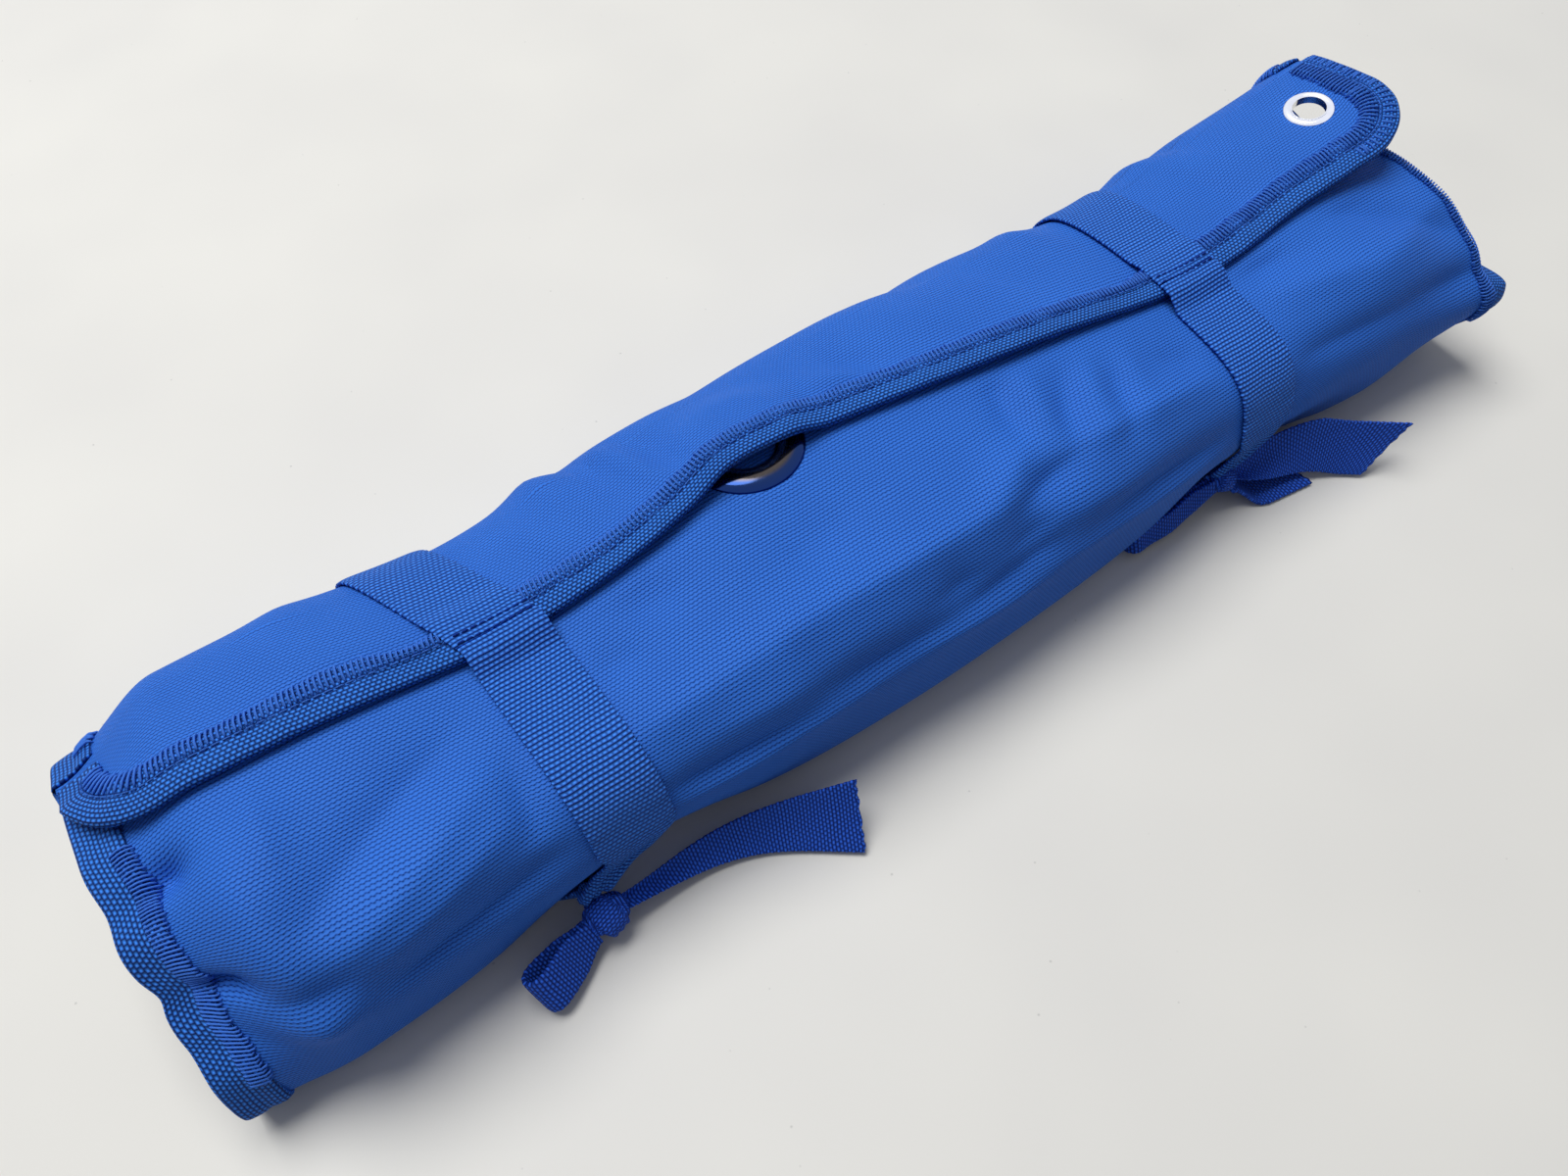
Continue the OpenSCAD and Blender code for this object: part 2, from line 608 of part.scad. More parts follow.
module left_loop() { loop(side_l, 194, -58, 0.5, loop_l); }
module right_loop() { loop(side_r, 185, -66, 0.45, loop_l + 4); }

// Two rows of stitches hold each strap to the flap's binding
module strap_stitching() {
    stitch_r = 0.35;
    count = 7;
    color(webbing_blue) for (side = [side_l, side_r], row = [2, 7], i = [0 : count - 1]) {
        x = strap_mid_x(side, seam_angle(side)) + (i - (count - 1) / 2) * strap_w / (count + 1);
        y = flap_edge(x) + row;
        a = acos(y / back_w(x)) - 1;
        p = strap_point(x, a, strap_t);
        translate([p[0] - 1, p[1], p[2] + stitch_r + 0.1]) rotate([0, 90, 0])
            cylinder(r = stitch_r, h = 2, $fn = 16);
    }
}

foam_pad();
cover_sheet();
flap();
right_flap_corner();
flap_binding();
right_corner_binding();
left_end_binding();
right_end_binding();
corner_eyelet();
corner_eyelet_washer();
large_eyelet();
large_eyelet_washer();
left_strap_back();
left_strap_front();
left_knot();
left_tail();
left_loop();
right_strap_back();
right_strap_front();
right_knot();
right_tail();
right_short_tail();
right_loop();
strap_stitching();
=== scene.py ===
# Dresses the rolled foam pad: cloth cover, bound edges, webbing straps with their knots, foam and eyelets.
import json
import math
import bpy
import numpy as np
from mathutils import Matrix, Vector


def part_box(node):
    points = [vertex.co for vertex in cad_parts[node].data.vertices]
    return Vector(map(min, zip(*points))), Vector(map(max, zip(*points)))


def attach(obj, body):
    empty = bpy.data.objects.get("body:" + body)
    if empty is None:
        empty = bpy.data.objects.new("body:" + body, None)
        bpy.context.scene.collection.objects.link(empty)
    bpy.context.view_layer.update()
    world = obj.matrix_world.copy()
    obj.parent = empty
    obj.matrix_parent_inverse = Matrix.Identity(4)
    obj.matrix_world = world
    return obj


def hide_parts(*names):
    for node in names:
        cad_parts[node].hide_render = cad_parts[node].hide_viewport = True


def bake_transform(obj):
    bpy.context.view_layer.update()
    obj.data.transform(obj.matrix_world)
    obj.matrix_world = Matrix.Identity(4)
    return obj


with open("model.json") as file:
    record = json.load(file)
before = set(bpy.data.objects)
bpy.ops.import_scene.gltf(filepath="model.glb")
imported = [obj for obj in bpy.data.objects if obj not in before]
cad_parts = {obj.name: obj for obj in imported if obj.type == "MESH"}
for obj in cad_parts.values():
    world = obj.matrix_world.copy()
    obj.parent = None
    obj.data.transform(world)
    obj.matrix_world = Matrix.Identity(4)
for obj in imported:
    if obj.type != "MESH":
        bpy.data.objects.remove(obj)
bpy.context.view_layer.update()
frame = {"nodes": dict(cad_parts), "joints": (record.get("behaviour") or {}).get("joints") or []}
scene = bpy.context.scene

MM = 0.001
SIDES = ((-1, "left"), (1, "right"))

# ---- the roll's shape, in mm, close to the CAD's but for what fits the photograph better

ROLL_L, ROLL_H, ROLL_HALF_W = 500, 69, 61
HALF_L = ROLL_L / 2
CINCH, SQUARENESS = 8, 3.4
FABRIC_T, LAYER_GAP = 1.0, 0.4
FOLD_ANGLE, INNER_WRAP = 50, 140
EDGE_Y, EDGE_BOW, CORNER_R, CORNER_LIFT = -3, 11, 26, 8.5
FLAP_END = HALF_L - 6.5
BINDING_W, TAPE_T, HEM_GAP = 12, 0.9, 0.25
HEM_T = TAPE_T + HEM_GAP
BINDING_H = FABRIC_T / 2 + HEM_T  # from the cloth's middle to the tape's outer face
STRAP_X, STRAP_W, STRAP_T = 130, 25, 1.6
RING_X, RING_R, RING_SHOWS = -38, 19.5, 11
PAD_W, FOAM_T, TURN_PITCH, FOAM_TURNS = 428, 3.2, 3.8, 5.5
SHEET_START = FOLD_ANGLE - 360 - INNER_WRAP  # the angle of the sheet's inner edge
FRONT_FROM = -288  # its rows are finer from here on
CORNER_X = 138  # right of this the flap is the corner's own cloth


def clamp01(t):
    return np.clip(t, 0, 1)


def smooth(t):
    c = clamp01(t)
    return c * c * (3 - 2 * c)


def bell(x, at, width):
    return np.exp(-(((x - at) / width) ** 2))


def mix(a, b, t):
    return a + (b - a) * t


def sind(a):
    return np.sin(np.radians(a))


def cosd(a):
    return np.cos(np.radians(a))


def cinched(x):
    return bell(x, -STRAP_X, 42) + bell(x, STRAP_X, 42)


def over_strap(x):
    return 1 - smooth((abs(abs(x) - STRAP_X) - 28) / 18)


def left_end(x):
    return smooth((-HALF_L + 34 - x) / 34)


def right_end(x):
    return smooth((x - HALF_L + 60) / 60)


def over_hem(x):
    return smooth((abs(x) - HALF_L + BINDING_W + 14) / 12)


def floor_z(x):
    return (STRAP_T + LAYER_GAP) * over_strap(x) + HEM_T * over_hem(x)


def top_z(x):
    return ROLL_H - CINCH * cinched(x) - 6 * left_end(x) - 3 * right_end(x)


def half_h(x):
    return (top_z(x) - floor_z(x)) / 2


def back_w(x):
    return ROLL_HALF_W + 1 - 4 * cinched(x) - 9 * left_end(x) - 4 * right_end(x)


def front_w(x):
    return ROLL_HALF_W + 2.5 * bell(x, -8, 70) - 3 * cinched(x) - 3 * left_end(x) + 7 * right_end(x)


def slack(x, a):
    b = np.mod(a, 360)
    left, right, tied = left_end(x), right_end(x), cinched(x)
    return (1 - left * (0.42 * bell(b, 143, 40) + 0.12 * bell(b, 60, 30))
            + right * (0.08 * bell(b, 38, 26) - 0.14 * bell(b, 140, 28) - 0.20 * bell(b, 222, 30))
            + (1 - np.maximum(left, right)) * (0.03 * bell(b, 126, 12) - 0.025 * bell(b, 154, 15))
            - 0.06 * bell(b, 36, 26) - 0.09 * tied * bell(b, 214, 22))


def skin(x, a, d=0, dz=None):
    """Points of the section at x, at the angle a (0 back, 90 top, 180 front), d under the surface."""
    x, a, d = np.broadcast_arrays(np.asarray(x, float), np.asarray(a, float), np.asarray(d, float))
    deep = d if dz is None else dz
    n = np.where(sind(a) > 0, SQUARENESS, SQUARENESS + 1.6)
    c, s = cosd(a), sind(a)
    r = slack(x, a) / (np.abs(c) ** n + np.abs(s) ** n) ** (1 / n)
    w = np.where(c > 0, back_w(x), front_w(x)) - d
    lean = 0.045 * smooth(s * 2) * w * r * c
    z = (top_z(x) + floor_z(x)) / 2 + (half_h(x) - deep) * r * s + lean
    low = floor_z(x) + deep
    return np.stack([x, w * r * c, np.where(z - low < 0.2, low, z)], -1)


def angle_at(x, y):
    """The angle at which the section's top passes over y."""
    x, y = np.broadcast_arrays(np.asarray(x, float), np.asarray(y, float))
    lo, hi = np.full(x.shape, 20.0), np.full(x.shape, 150.0)
    for _ in range(20):
        a = (lo + hi) / 2
        back = skin(x, a)[..., 1] > y
        lo, hi = np.where(back, a, lo), np.where(back, hi, a)
    return (lo + hi) / 2


def skin_top(x, y):
    return skin(x, angle_at(x, y))[..., 2]


# The flap's edge, with its rounded corners
def edge_line(x):
    bow = bell(x, RING_X, np.where(x < RING_X, 34, 78))
    return 3.4 * smooth((x - 145) / 45) + EDGE_Y - 0.044 * x + EDGE_BOW * bow


def flap_edge(x):
    past = clamp01(np.where(x > 0, x - FLAP_END + CORNER_R, -x - HALF_L + CORNER_R) / CORNER_R)
    return edge_line(x) + CORNER_R * (1 - np.sqrt(1 - past * past))


def flap_fold(x):
    return skin(x, FOLD_ANGLE)[..., 1]


RING_Y = float(edge_line(np.float64(RING_X))) + RING_R - RING_SHOWS
RING_SLOPE = float(skin_top(RING_X, RING_Y + RING_R) - skin_top(RING_X, RING_Y - RING_R)) / (2 * RING_R)
RING_Z = float(skin_top(RING_X, RING_Y)) - 1.4
FLAP_RISE = BINDING_H + LAYER_GAP + 0.2
SAG_AT = FOLD_ANGLE - 354


def fold_lift(x):
    return 0.9 * CORNER_LIFT * smooth((x - HALF_L + 88) / 100)


def lifted(x):
    return 1.5 * (bell(x, -66, 36) + bell(x, 52, 44))


def flap_rise_at(x, y):
    edge = flap_edge(np.clip(x, 4 - HALF_L, FLAP_END - 4))
    f = clamp01((y - edge) / (flap_fold(x) - edge))
    return (mix(FLAP_RISE + HEM_T * over_hem(x), -FABRIC_T / 2, smooth(f))
            + 3.2 * (1 - smooth((np.hypot(x - RING_X, y - RING_Y) - RING_R + 5) / 14))
            + lifted(x) * (1 - f) ** 2 + fold_lift(x) * (1 + 0.1 * (1 - f))
            + 5 * smooth((x - HALF_L + 60) / 55))


def sag(x, a):
    reach = HALF_L - BINDING_W - 2 - PAD_W / 2
    return 24 * sind(90 * clamp01((x - PAD_W / 2) / reach)) * bell(a, SAG_AT, 21)


def drawn_back(x, a):
    """How far the left end's edge is drawn in, in scallops round the section."""
    b = np.mod(a, 360)
    return (smooth((-HALF_L + BINDING_W + 32 - x) / 30)
            * (1.2 * bell(b, 98, 9) + 1.8 * bell(b, 136, 10) + 0.8 * bell(b, 172, 13)))


def curled_in(x, a):
    """How far the right end's edge has curled inwards over its top and front, from 0 to 1.
    The solids keep it straight."""
    b = np.mod(a, 360)
    return clamp01((x - HALF_L + 14) / 14) ** 2 * smooth((b - 60) / 14) * (1 - smooth((b - 146) / 22))


def sheet_point(x, a, up):
    """Points of the cover's sheet, up over its outer face.
    Its turns lie under each other from the flap's fold inwards."""
    depth = (FABRIC_T + LAYER_GAP + 2 * HEM_T * over_hem(x)) * smooth((FOLD_ANGLE - 300 - a) / 60) + sag(x, a)
    p = skin(x, a, depth - up)
    p[..., 0] += drawn_back(x, a) - 4 * curled_in(x, a)
    p[..., 2] += fold_lift(x) * smooth((a - 5) / (FOLD_ANGLE - 5))
    seated = 1 - smooth((np.hypot(p[..., 0] - RING_X, p[..., 1] - RING_Y) - RING_R - 1) / 5.5)
    plane = RING_Z + RING_SLOPE * (p[..., 1] - RING_Y) + up
    p[..., 2] = np.where(np.abs(a - SAG_AT) < 60, mix(p[..., 2], plane, seated), p[..., 2])
    return p


# ---- folds and wrinkles of the cloth

# Each fold is a line on the roll from (x, a) to (x, a), with its half width in mm and its height in mm.
# The angle a is the one round the section: up to 93 is the flap, and 93 to 180 the front.
FOLDS = [
    # the front's upper ridge between the straps, with its jog and the hollow beside it
    ((-120, 128), (-60, 126), 7, 1.8), ((-64, 125), (20, 127), 6, 2.4), ((12, 125), (32, 118), 6, 2.8),
    ((24, 130), (46, 126), 7, -3.4), ((34, 123), (104, 127), 6, 2.4),
    # short folds that run up from it
    ((42, 96), (35, 114), 5, -2.6), ((63, 106), (49, 123), 5, -2.8), ((80, 112), (68, 128), 5, -2.6),
    ((52, 98), (44, 117), 5, 1.9), ((72, 106), (61, 122), 5, 1.9), ((88, 108), (80, 122), 5, 1.6),
    # soft hollows
    ((-16, 142), (-2, 142), 10, -2.8), ((12, 141), (27, 139), 9, -2.6), ((-98, 100), (-82, 102), 9, -2.2),
    ((-114, 109), (-100, 112), 8, -2.2), ((-52, 112), (-24, 108), 12, -2.0), ((96, 116), (112, 122), 7, -2.0),
    # hollows and swellings along the lower front
    ((-116, 154), (-74, 158), 8, -2.4), ((-58, 150), (-22, 155), 8, -2.5), ((-6, 154), (28, 149), 8, -2.4),
    ((52, 151), (98, 156), 8, -2.2), ((-104, 168), (-44, 164), 9, 2.0), ((-26, 163), (18, 167), 9, 1.9),
    ((30, 163), (100, 168), 9, 1.8), ((34, 141), (70, 146), 9, 1.4), ((-92, 140), (-66, 144), 10, 1.6),
    # left of the left strap
    ((-160, 106), (-207, 126), 8, -3.6), ((-158, 119), (-202, 137), 7, 2.8),
    ((-146, 119), (-150, 136), 4, -2.8), ((-207, 95), (-208, 113), 7, 2.6),
    ((-158, 130), (-203, 147), 7, 2.4), ((-228, 144), (-205, 147), 9, -3.0),
    ((-148, 150), (-196, 162), 8, -2.4),
    # right of the right strap
    ((150, 116), (186, 124), 7, 2.2), ((194, 104), (236, 129), 9, -3.4), ((190, 126), (236, 117), 8, 2.8),
    ((150, 140), (198, 148), 9, -2.5), ((204, 146), (240, 150), 10, -3.2), ((150, 104), (170, 110), 7, -2.0),
    # the flap
    ((-76, 44), (-61, 86), 4, 2.0), ((-66, 46), (-54, 84), 6, -1.7), ((-8, 66), (8, 78), 6, 2.0),
    ((4, 64), (16, 74), 5, -1.6),
    ((164, 50), (173, 88), 7, -2.0), ((186, 56), (196, 82), 9, 1.2), ((-214, 52), (-196, 84), 12, -2.0),
    ((66, 48), (92, 80), 12, -1.6), ((-112, 56), (-98, 84), 7, 1.5), ((20, 46), (48, 70), 13, 1.3),
    ((-190, 52), (-166, 82), 9, 1.4),
    # loose cloth beside the straps, over the flap's fold
    ((-100, 22), (-94, 62), 8, 2.6), ((-86, 30), (-78, 66), 6, -2.0), ((160, 24), (168, 60), 8, 2.2),
    ((178, 30), (184, 58), 6, -1.8), ((-40, 24), (-26, 58), 14, -1.6), ((96, 26), (104, 60), 8, 1.8),
    ((40, 20), (56, 50), 10, -1.5), ((-176, 24), (-184, 56), 10, 1.6),
]
DEGREE = 1.15  # mm of cloth for each degree round the section


def fold_height(x, a, fold):
    (x0, a0), (x1, a1), width, height = fold
    px, py, dx, dy = x - x0, (a - a0) * DEGREE, x1 - x0, (a1 - a0) * DEGREE
    c = clamp01((px * dx + py * dy) / (dx * dx + dy * dy))
    off = np.hypot(px - c * dx, py - c * dy)
    return height * np.sin(np.pi * (0.1 + 0.8 * c)) ** 0.6 * np.exp(-((off / width) ** 1.6))


def wrinkles(x, a):
    """Height of the cloth over the plain shape, in mm, at the angle a from 0 to 360."""
    h = 0.35 * np.sin(x / 31.0 + 1.3 * np.sin(a / 37.0)) * np.sin(a / 19.0 + x / 83.0)
    h = h + 0.22 * np.sin(x / 13.0 + a / 23.0) * np.sin(a / 11.0 - x / 29.0)
    for fold in FOLDS:
        h = h + fold_height(x, a, fold)
    return h * (1 - np.exp(-(((np.abs(x) - STRAP_X) / 17.0) ** 4)))


def end_ruffles(x, a):
    """The left end is crumpled: it stands out between the scallops of its edge and sinks in at them."""
    out = (0.5 * (bell(a, 84, 7) + bell(a, 117, 9) + bell(a, 155, 9))
           - 0.6 * (bell(a, 99, 7) + bell(a, 136, 8)))
    pillow = bell(x, -218, 11) * (3.4 * bell(a, 114, 12) + 3.0 * bell(a, 160, 12))
    pockets = bell(x, -234, 6) * (6.5 * bell(a, 99, 5) + 7.5 * bell(a, 137, 5))
    return out * smooth((-HALF_L + 36 - x) / 30) + pillow - pockets


def relief(x, a):
    """The same for the sheet, whose angle counts on from turn to turn. Only its outer turn has folds."""
    b = np.mod(a, 360)
    at = x[:, :1] if np.ndim(x) > 1 else x  # a grid has one x for each row
    edge = angle_at(at, flap_edge(at))
    bare = smooth((a + 358 - edge) / 7)
    lying = smooth((-sind(a) - 0.35) / 0.3)
    return (wrinkles(x, b) + end_ruffles(x, b) - 10 * curled_in(x, b)) * bare * (1 - lying)


def cloth_point(x, a, up):
    return sheet_point(x, a, up + relief(x, a))


def flap_z(x, y):
    """Height of the flap's middle surface, with its folds. The bound edge has none."""
    a = angle_at(x, y)
    hold = smooth((y - flap_edge(x) - 6) / 10)
    return skin(x, a)[..., 2] + flap_rise_at(x, y) + wrinkles(x, a) * hold


# ---- mesh tools

def grid_normals(p):
    """Unit normals of a grid of points (rows, columns, 3). On the roll's grids they point inwards."""
    du, dv = np.gradient(p, axis=0), np.gradient(p, axis=1)
    n = np.cross(du, dv)
    return n / np.maximum(np.linalg.norm(n, axis=-1, keepdims=True), 1e-9)


def length_run(points):
    """The length run along a line of points, at each of them."""
    return np.concatenate([[0], np.cumsum(np.linalg.norm(np.diff(points, axis=0), axis=1))])


def plate(name, outer, inner, uv, mat, keep=None):
    """A closed thin solid between two grids of points in mm. uv is in mm too. keep masks the cells."""
    n, m = outer.shape[:2]
    verts = np.concatenate([outer.reshape(-1, 3), inner.reshape(-1, 3)]) * MM
    idx = np.arange(n * m).reshape(n, m)
    k = n * m
    cells = np.ones((n - 1, m - 1), bool) if keep is None else keep
    ii, jj = np.nonzero(cells)
    a, b, c, d = idx[ii, jj], idx[ii + 1, jj], idx[ii + 1, jj + 1], idx[ii, jj + 1]
    faces = [np.stack([a, b, c, d], 1), np.stack([a + k, d + k, c + k, b + k], 1)]
    pad = np.zeros((n + 1, m + 1), bool)
    pad[1:-1, 1:-1] = cells
    for di, dj, p0, p1 in ((0, -1, (0, 0), (1, 0)), (1, 0, (1, 0), (1, 1)),
                           (0, 1, (1, 1), (0, 1)), (-1, 0, (0, 1), (0, 0))):
        edge = cells & ~pad[1 + di:n + di, 1 + dj:m + dj]
        ei, ej = np.nonzero(edge)
        q0, q1 = idx[ei + p0[0], ej + p0[1]], idx[ei + p1[0], ej + p1[1]]
        faces.append(np.stack([q1, q0, q0 + k, q1 + k], 1))
    faces = np.concatenate(faces)
    used = np.unique(faces)
    remap = np.full(len(verts), -1)
    remap[used] = np.arange(len(used))
    flat_uv = np.concatenate([uv.reshape(-1, 2)] * 2) * MM
    return build_mesh(name, verts[used], remap[faces].tolist(), flat_uv[used], mat)


def build_mesh(name, verts, faces, uv, mat):
    """A smooth mesh, from points and uv in metres and the corners of its faces."""
    me = bpy.data.meshes.new(name)
    me.from_pydata(verts.tolist(), [], faces)
    layer = me.uv_layers.new(name="cloth")
    loop_v = np.zeros(len(me.loops), np.int32)
    me.loops.foreach_get("vertex_index", loop_v)
    layer.data.foreach_set("uv", np.asarray(uv, np.float32)[loop_v].ravel())
    me.polygons.foreach_set("use_smooth", [True] * len(me.polygons))
    me.update()
    me.materials.append(mat)
    ob = bpy.data.objects.new(name, me)
    scene.collection.objects.link(ob)
    return ob


def merged(name, parts, mat):
    """One mesh out of (verts in mm, faces, uv in mm) parts."""
    verts, faces, uvs, base = [], [], [], 0
    for v, f, t in parts:
        verts.append(v)
        uvs.append(t)
        faces.extend([[i + base for i in face] for face in f])
        base += len(v)
    return build_mesh(name, np.concatenate(verts) * MM, faces, np.concatenate(uvs) * MM, mat)


def tube(path, radius, sides):
    """A thread with tapered ends along a path in mm."""
    p = np.asarray(path, float)
    t = np.gradient(p, axis=0)
    t /= np.maximum(np.linalg.norm(t, axis=1, keepdims=True), 1e-9)
    ref = np.array([0.3, 0.2, 0.93])
    a = np.cross(t, ref)
    a /= np.maximum(np.linalg.norm(a, axis=1, keepdims=True), 1e-9)
    b = np.cross(t, a)
    n = len(p)
    s = np.linspace(0, 1, n)
    r = radius * np.clip(np.minimum(s, 1 - s) * 8 + 0.35, 0, 1)
    ang = np.linspace(0, 2 * np.pi, sides, endpoint=False)
    round_axis = np.cos(ang)[None, :, None] * a[:, None] + np.sin(ang)[None, :, None] * b[:, None]
    ring = p[:, None] + r[:, None, None] * round_axis
    verts = ring.reshape(-1, 3)
    faces = [[i * sides + j, i * sides + (j + 1) % sides,
              (i + 1) * sides + (j + 1) % sides, (i + 1) * sides + j]
             for i in range(n - 1) for j in range(sides)]
    faces += [list(range(sides))[::-1], [(n - 1) * sides + j for j in range(sides)]]
    uv = np.stack([np.repeat(s * 10, sides), np.tile(np.arange(sides), n)], 1)
    return verts, faces, uv


# ---- materials

def new_material(name):
    m = bpy.data.materials.new(name)
    m.use_nodes = True
    m.node_tree.nodes.clear()
    return m


class Nodes:
    """Short calls for building a node tree."""

    def __init__(self, mat):
        self.t = mat.node_tree

    def add(self, kind, **inputs):
        n = self.t.nodes.new(kind)
        for key, value in inputs.items():
            if key.startswith("_"):
                setattr(n, key[1:], value)
        for key, value in inputs.items():
            if not key.startswith("_"):
                self.put(n, key.replace("__", " "), value)
        return n

    def link(self, output, socket):
        self.t.links.new(output, socket)

    def put(self, n, key, value):
        socket = n.inputs[int(key[1:])] if key[0] == "i" and key[1:].isdigit() else n.inputs[key]
        if hasattr(value, "links") or isinstance(value, bpy.types.NodeSocket):
            self.link(value, socket)
        else:
            socket.default_value = value

    def math(self, op, a, b=0.0):
        return self.add("ShaderNodeMath", _operation=op, i0=a, i1=b).outputs[0]

    def ramp(self, fac, stops):
        n = self.t.nodes.new("ShaderNodeValToRGB")
        for pos, _ in stops[1:-1]:
            n.color_ramp.elements.new(pos)
        for e, (pos, col) in zip(n.color_ramp.elements, stops):
            e.position = pos
            e.color = (*col, 1)
        self.put(n, "Fac", fac)
        return n.outputs["Color"]

    def seen(self):
        """1 where the eye, metal or glass sees it, 0 where it only gives light."""
        rays = self.add("ShaderNodeLightPath").outputs
        mirrored = self.math("MAXIMUM", rays["Is Glossy Ray"], rays["Is Transmission Ray"])
        return self.math("MAXIMUM", rays["Is Camera Ray"], mirrored)

    def surface(self, color, normal, **inputs):
        """The shader with its colour and normal linked, and the material's output."""
        b = self.add("ShaderNodeBsdfPrincipled", **inputs)
        self.link(color, b.inputs["Base Color"])
        self.link(normal, b.inputs["Normal"])
        out = self.add("ShaderNodeOutputMaterial")
        self.link(b.outputs[0], out.inputs["Surface"])


def srgb(r, g, b):
    """A colour from 0-255 display values to linear."""
    return tuple((v / 255) / 12.92 if v / 255 <= 0.04045 else ((v / 255 + 0.055) / 1.055) ** 2.4
                 for v in (r, g, b))


def woven(name, dark, light, row, col, share, depth, slow=0.1, dots=False):
    """Woven cloth: rows of raised thread crossings, each row half a crossing on from the last.
    row and col are their pitch and depth their height, in mm. slow is how much the tone drifts.
    With dots, the cloth is even and has small hollows between its threads instead. UV is in metres."""
    m = new_material(name)
    g = Nodes(m)
    uv = g.add("ShaderNodeUVMap", _uv_map="cloth").outputs["UV"]
    wobble = g.add("ShaderNodeTexNoise", Vector=uv, Scale=120.0, Detail=2.0)
    moved = g.add("ShaderNodeVectorMath", _operation="MULTIPLY_ADD")
    g.link(wobble.outputs["Color"], moved.inputs[0])
    moved.inputs[1].default_value = (0.0008, 0.0008, 0.0)
    g.link(uv, moved.inputs[2])
    xyz = g.add("ShaderNodeSeparateXYZ", Vector=moved.outputs[0])
    r = g.math("DIVIDE", xyz.outputs["Y"], row * MM)
    shift = g.math("FRACT", g.math("MULTIPLY", g.math("FLOOR", r), 0.5))
    c = g.math("ADD", g.math("DIVIDE", xyz.outputs["X"], col * MM), shift)
    across = g.math("SINE", g.math("MULTIPLY", g.math("FRACT", r), math.pi))
    along = g.math("SINE", g.math("MULTIPLY", g.math("FRACT", c), math.pi))
    if dots:
        across, along = g.math("SUBTRACT", 1, across), g.math("SUBTRACT", 1, along)
    weave = g.math("MULTIPLY", across, g.math("ADD", g.math("MULTIPLY", along, share), 1 - share))
    if dots:
        weave = g.math("SUBTRACT", 1, weave)
    fine = g.add("ShaderNodeTexNoise", Vector=uv, Scale=2600.0, Detail=2.0).outputs["Fac"]
    broad = g.add("ShaderNodeTexNoise", Vector=uv, Scale=30.0, Detail=3.0).outputs["Fac"]
    # the colour follows the weave's height: painted shade in the hollows between its threads and rows, light
    # on the raised threads, with random tone from the two noises over it
    tone = g.math("ADD", g.math("MULTIPLY", weave, 0.8),
                  g.math("ADD", g.math("MULTIPLY", fine, 0.14), g.math("MULTIPLY", broad, slow)))
    color = g.ramp(tone, [(0.34, dark), (1.0, light)] if dots else [(0.14, dark), (0.9, light)])
    bump = g.add("ShaderNodeBump", Strength=0.9, Distance=depth * MM, Height=weave)
    fuzz = g.add("ShaderNodeBump", Strength=0.3, Distance=0.12 * MM, Height=fine)
    g.link(bump.outputs["Normal"], fuzz.inputs["Normal"])
    g.surface(color, fuzz.outputs["Normal"], Roughness=0.62, Specular__IOR__Level=0.12,
              Sheen__Weight=0.03, Sheen__Roughness=0.4, Sheen__Tint=(*srgb(120, 170, 255), 1))
    return m


def foam_material():
    m = new_material("closed_cell_foam")
    g = Nodes(m)
    obj = g.add("ShaderNodeTexCoord").outputs["Object"]
    cells = g.add("ShaderNodeTexVoronoi", Vector=obj, Scale=1400.0).outputs["Distance"]
    broad = g.add("ShaderNodeTexNoise", Vector=obj, Scale=60.0, Detail=3.0).outputs["Fac"]
    tone = g.math("ADD", g.math("MULTIPLY", cells, 0.5), g.math("MULTIPLY", broad, 0.4))
    color = g.ramp(tone, [(0.15, srgb(70, 74, 80)), (0.75, srgb(104, 108, 114))])
    bump = g.add("ShaderNodeBump", Strength=0.4, Distance=0.25 * MM, Height=cells)
    g.surface(color, bump.outputs["Normal"], Roughness=0.82)
    return m


def metal(name, tint, dark, rough, reflection_rings=None):
    """Pressed sheet metal, polished, with faint marks.
    When given, the last argument replaces its colour with bands painted by the distance from the large
    eyelet's axis, in metres: painted shade at the hole, a painted highlight, and painted reflections of the
    room and of the blue cloth."""
    m = new_material(name)
    g = Nodes(m)
    obj = g.add("ShaderNodeTexCoord").outputs["Object"]
    marks = g.add("ShaderNodeTexNoise", Vector=obj, Scale=900.0, Detail=3.0).outputs["Fac"]
    worn = g.add("ShaderNodeTexNoise", Vector=obj, Scale=140.0, Detail=2.0).outputs["Fac"]
    color = g.ramp(worn, [(0.35, dark), (0.65, tint)])
    # painted shade, a painted highlight and painted reflections, in bands out from the large eyelet's axis,
    # take the place of the metal's own tone
    if reflection_rings:
        spread = 50  # brings the distances into a ramp's 0 to 1
        away = g.add("ShaderNodeVectorMath", _operation="MULTIPLY_ADD")
        g.link(obj, away.inputs[0])
        away.inputs[1].default_value = (spread, spread, 0)
        away.inputs[2].default_value = (-RING_X * MM * spread, -RING_Y * MM * spread, 0)
        radius = g.add("ShaderNodeVectorMath", _operation="LENGTH")
        g.link(away.outputs[0], radius.inputs[0])
        color = g.ramp(radius.outputs["Value"], [(r * spread, c) for r, c in reflection_rings])
    rough_v = g.math("MULTIPLY_ADD", marks, 0.14)
    rough_v.node.inputs[2].default_value = rough
    bump = g.add("ShaderNodeBump", Strength=0.08, Distance=0.05 * MM, Height=marks)
    g.surface(color, bump.outputs["Normal"], Metallic=1.0, Roughness=rough_v)
    return m


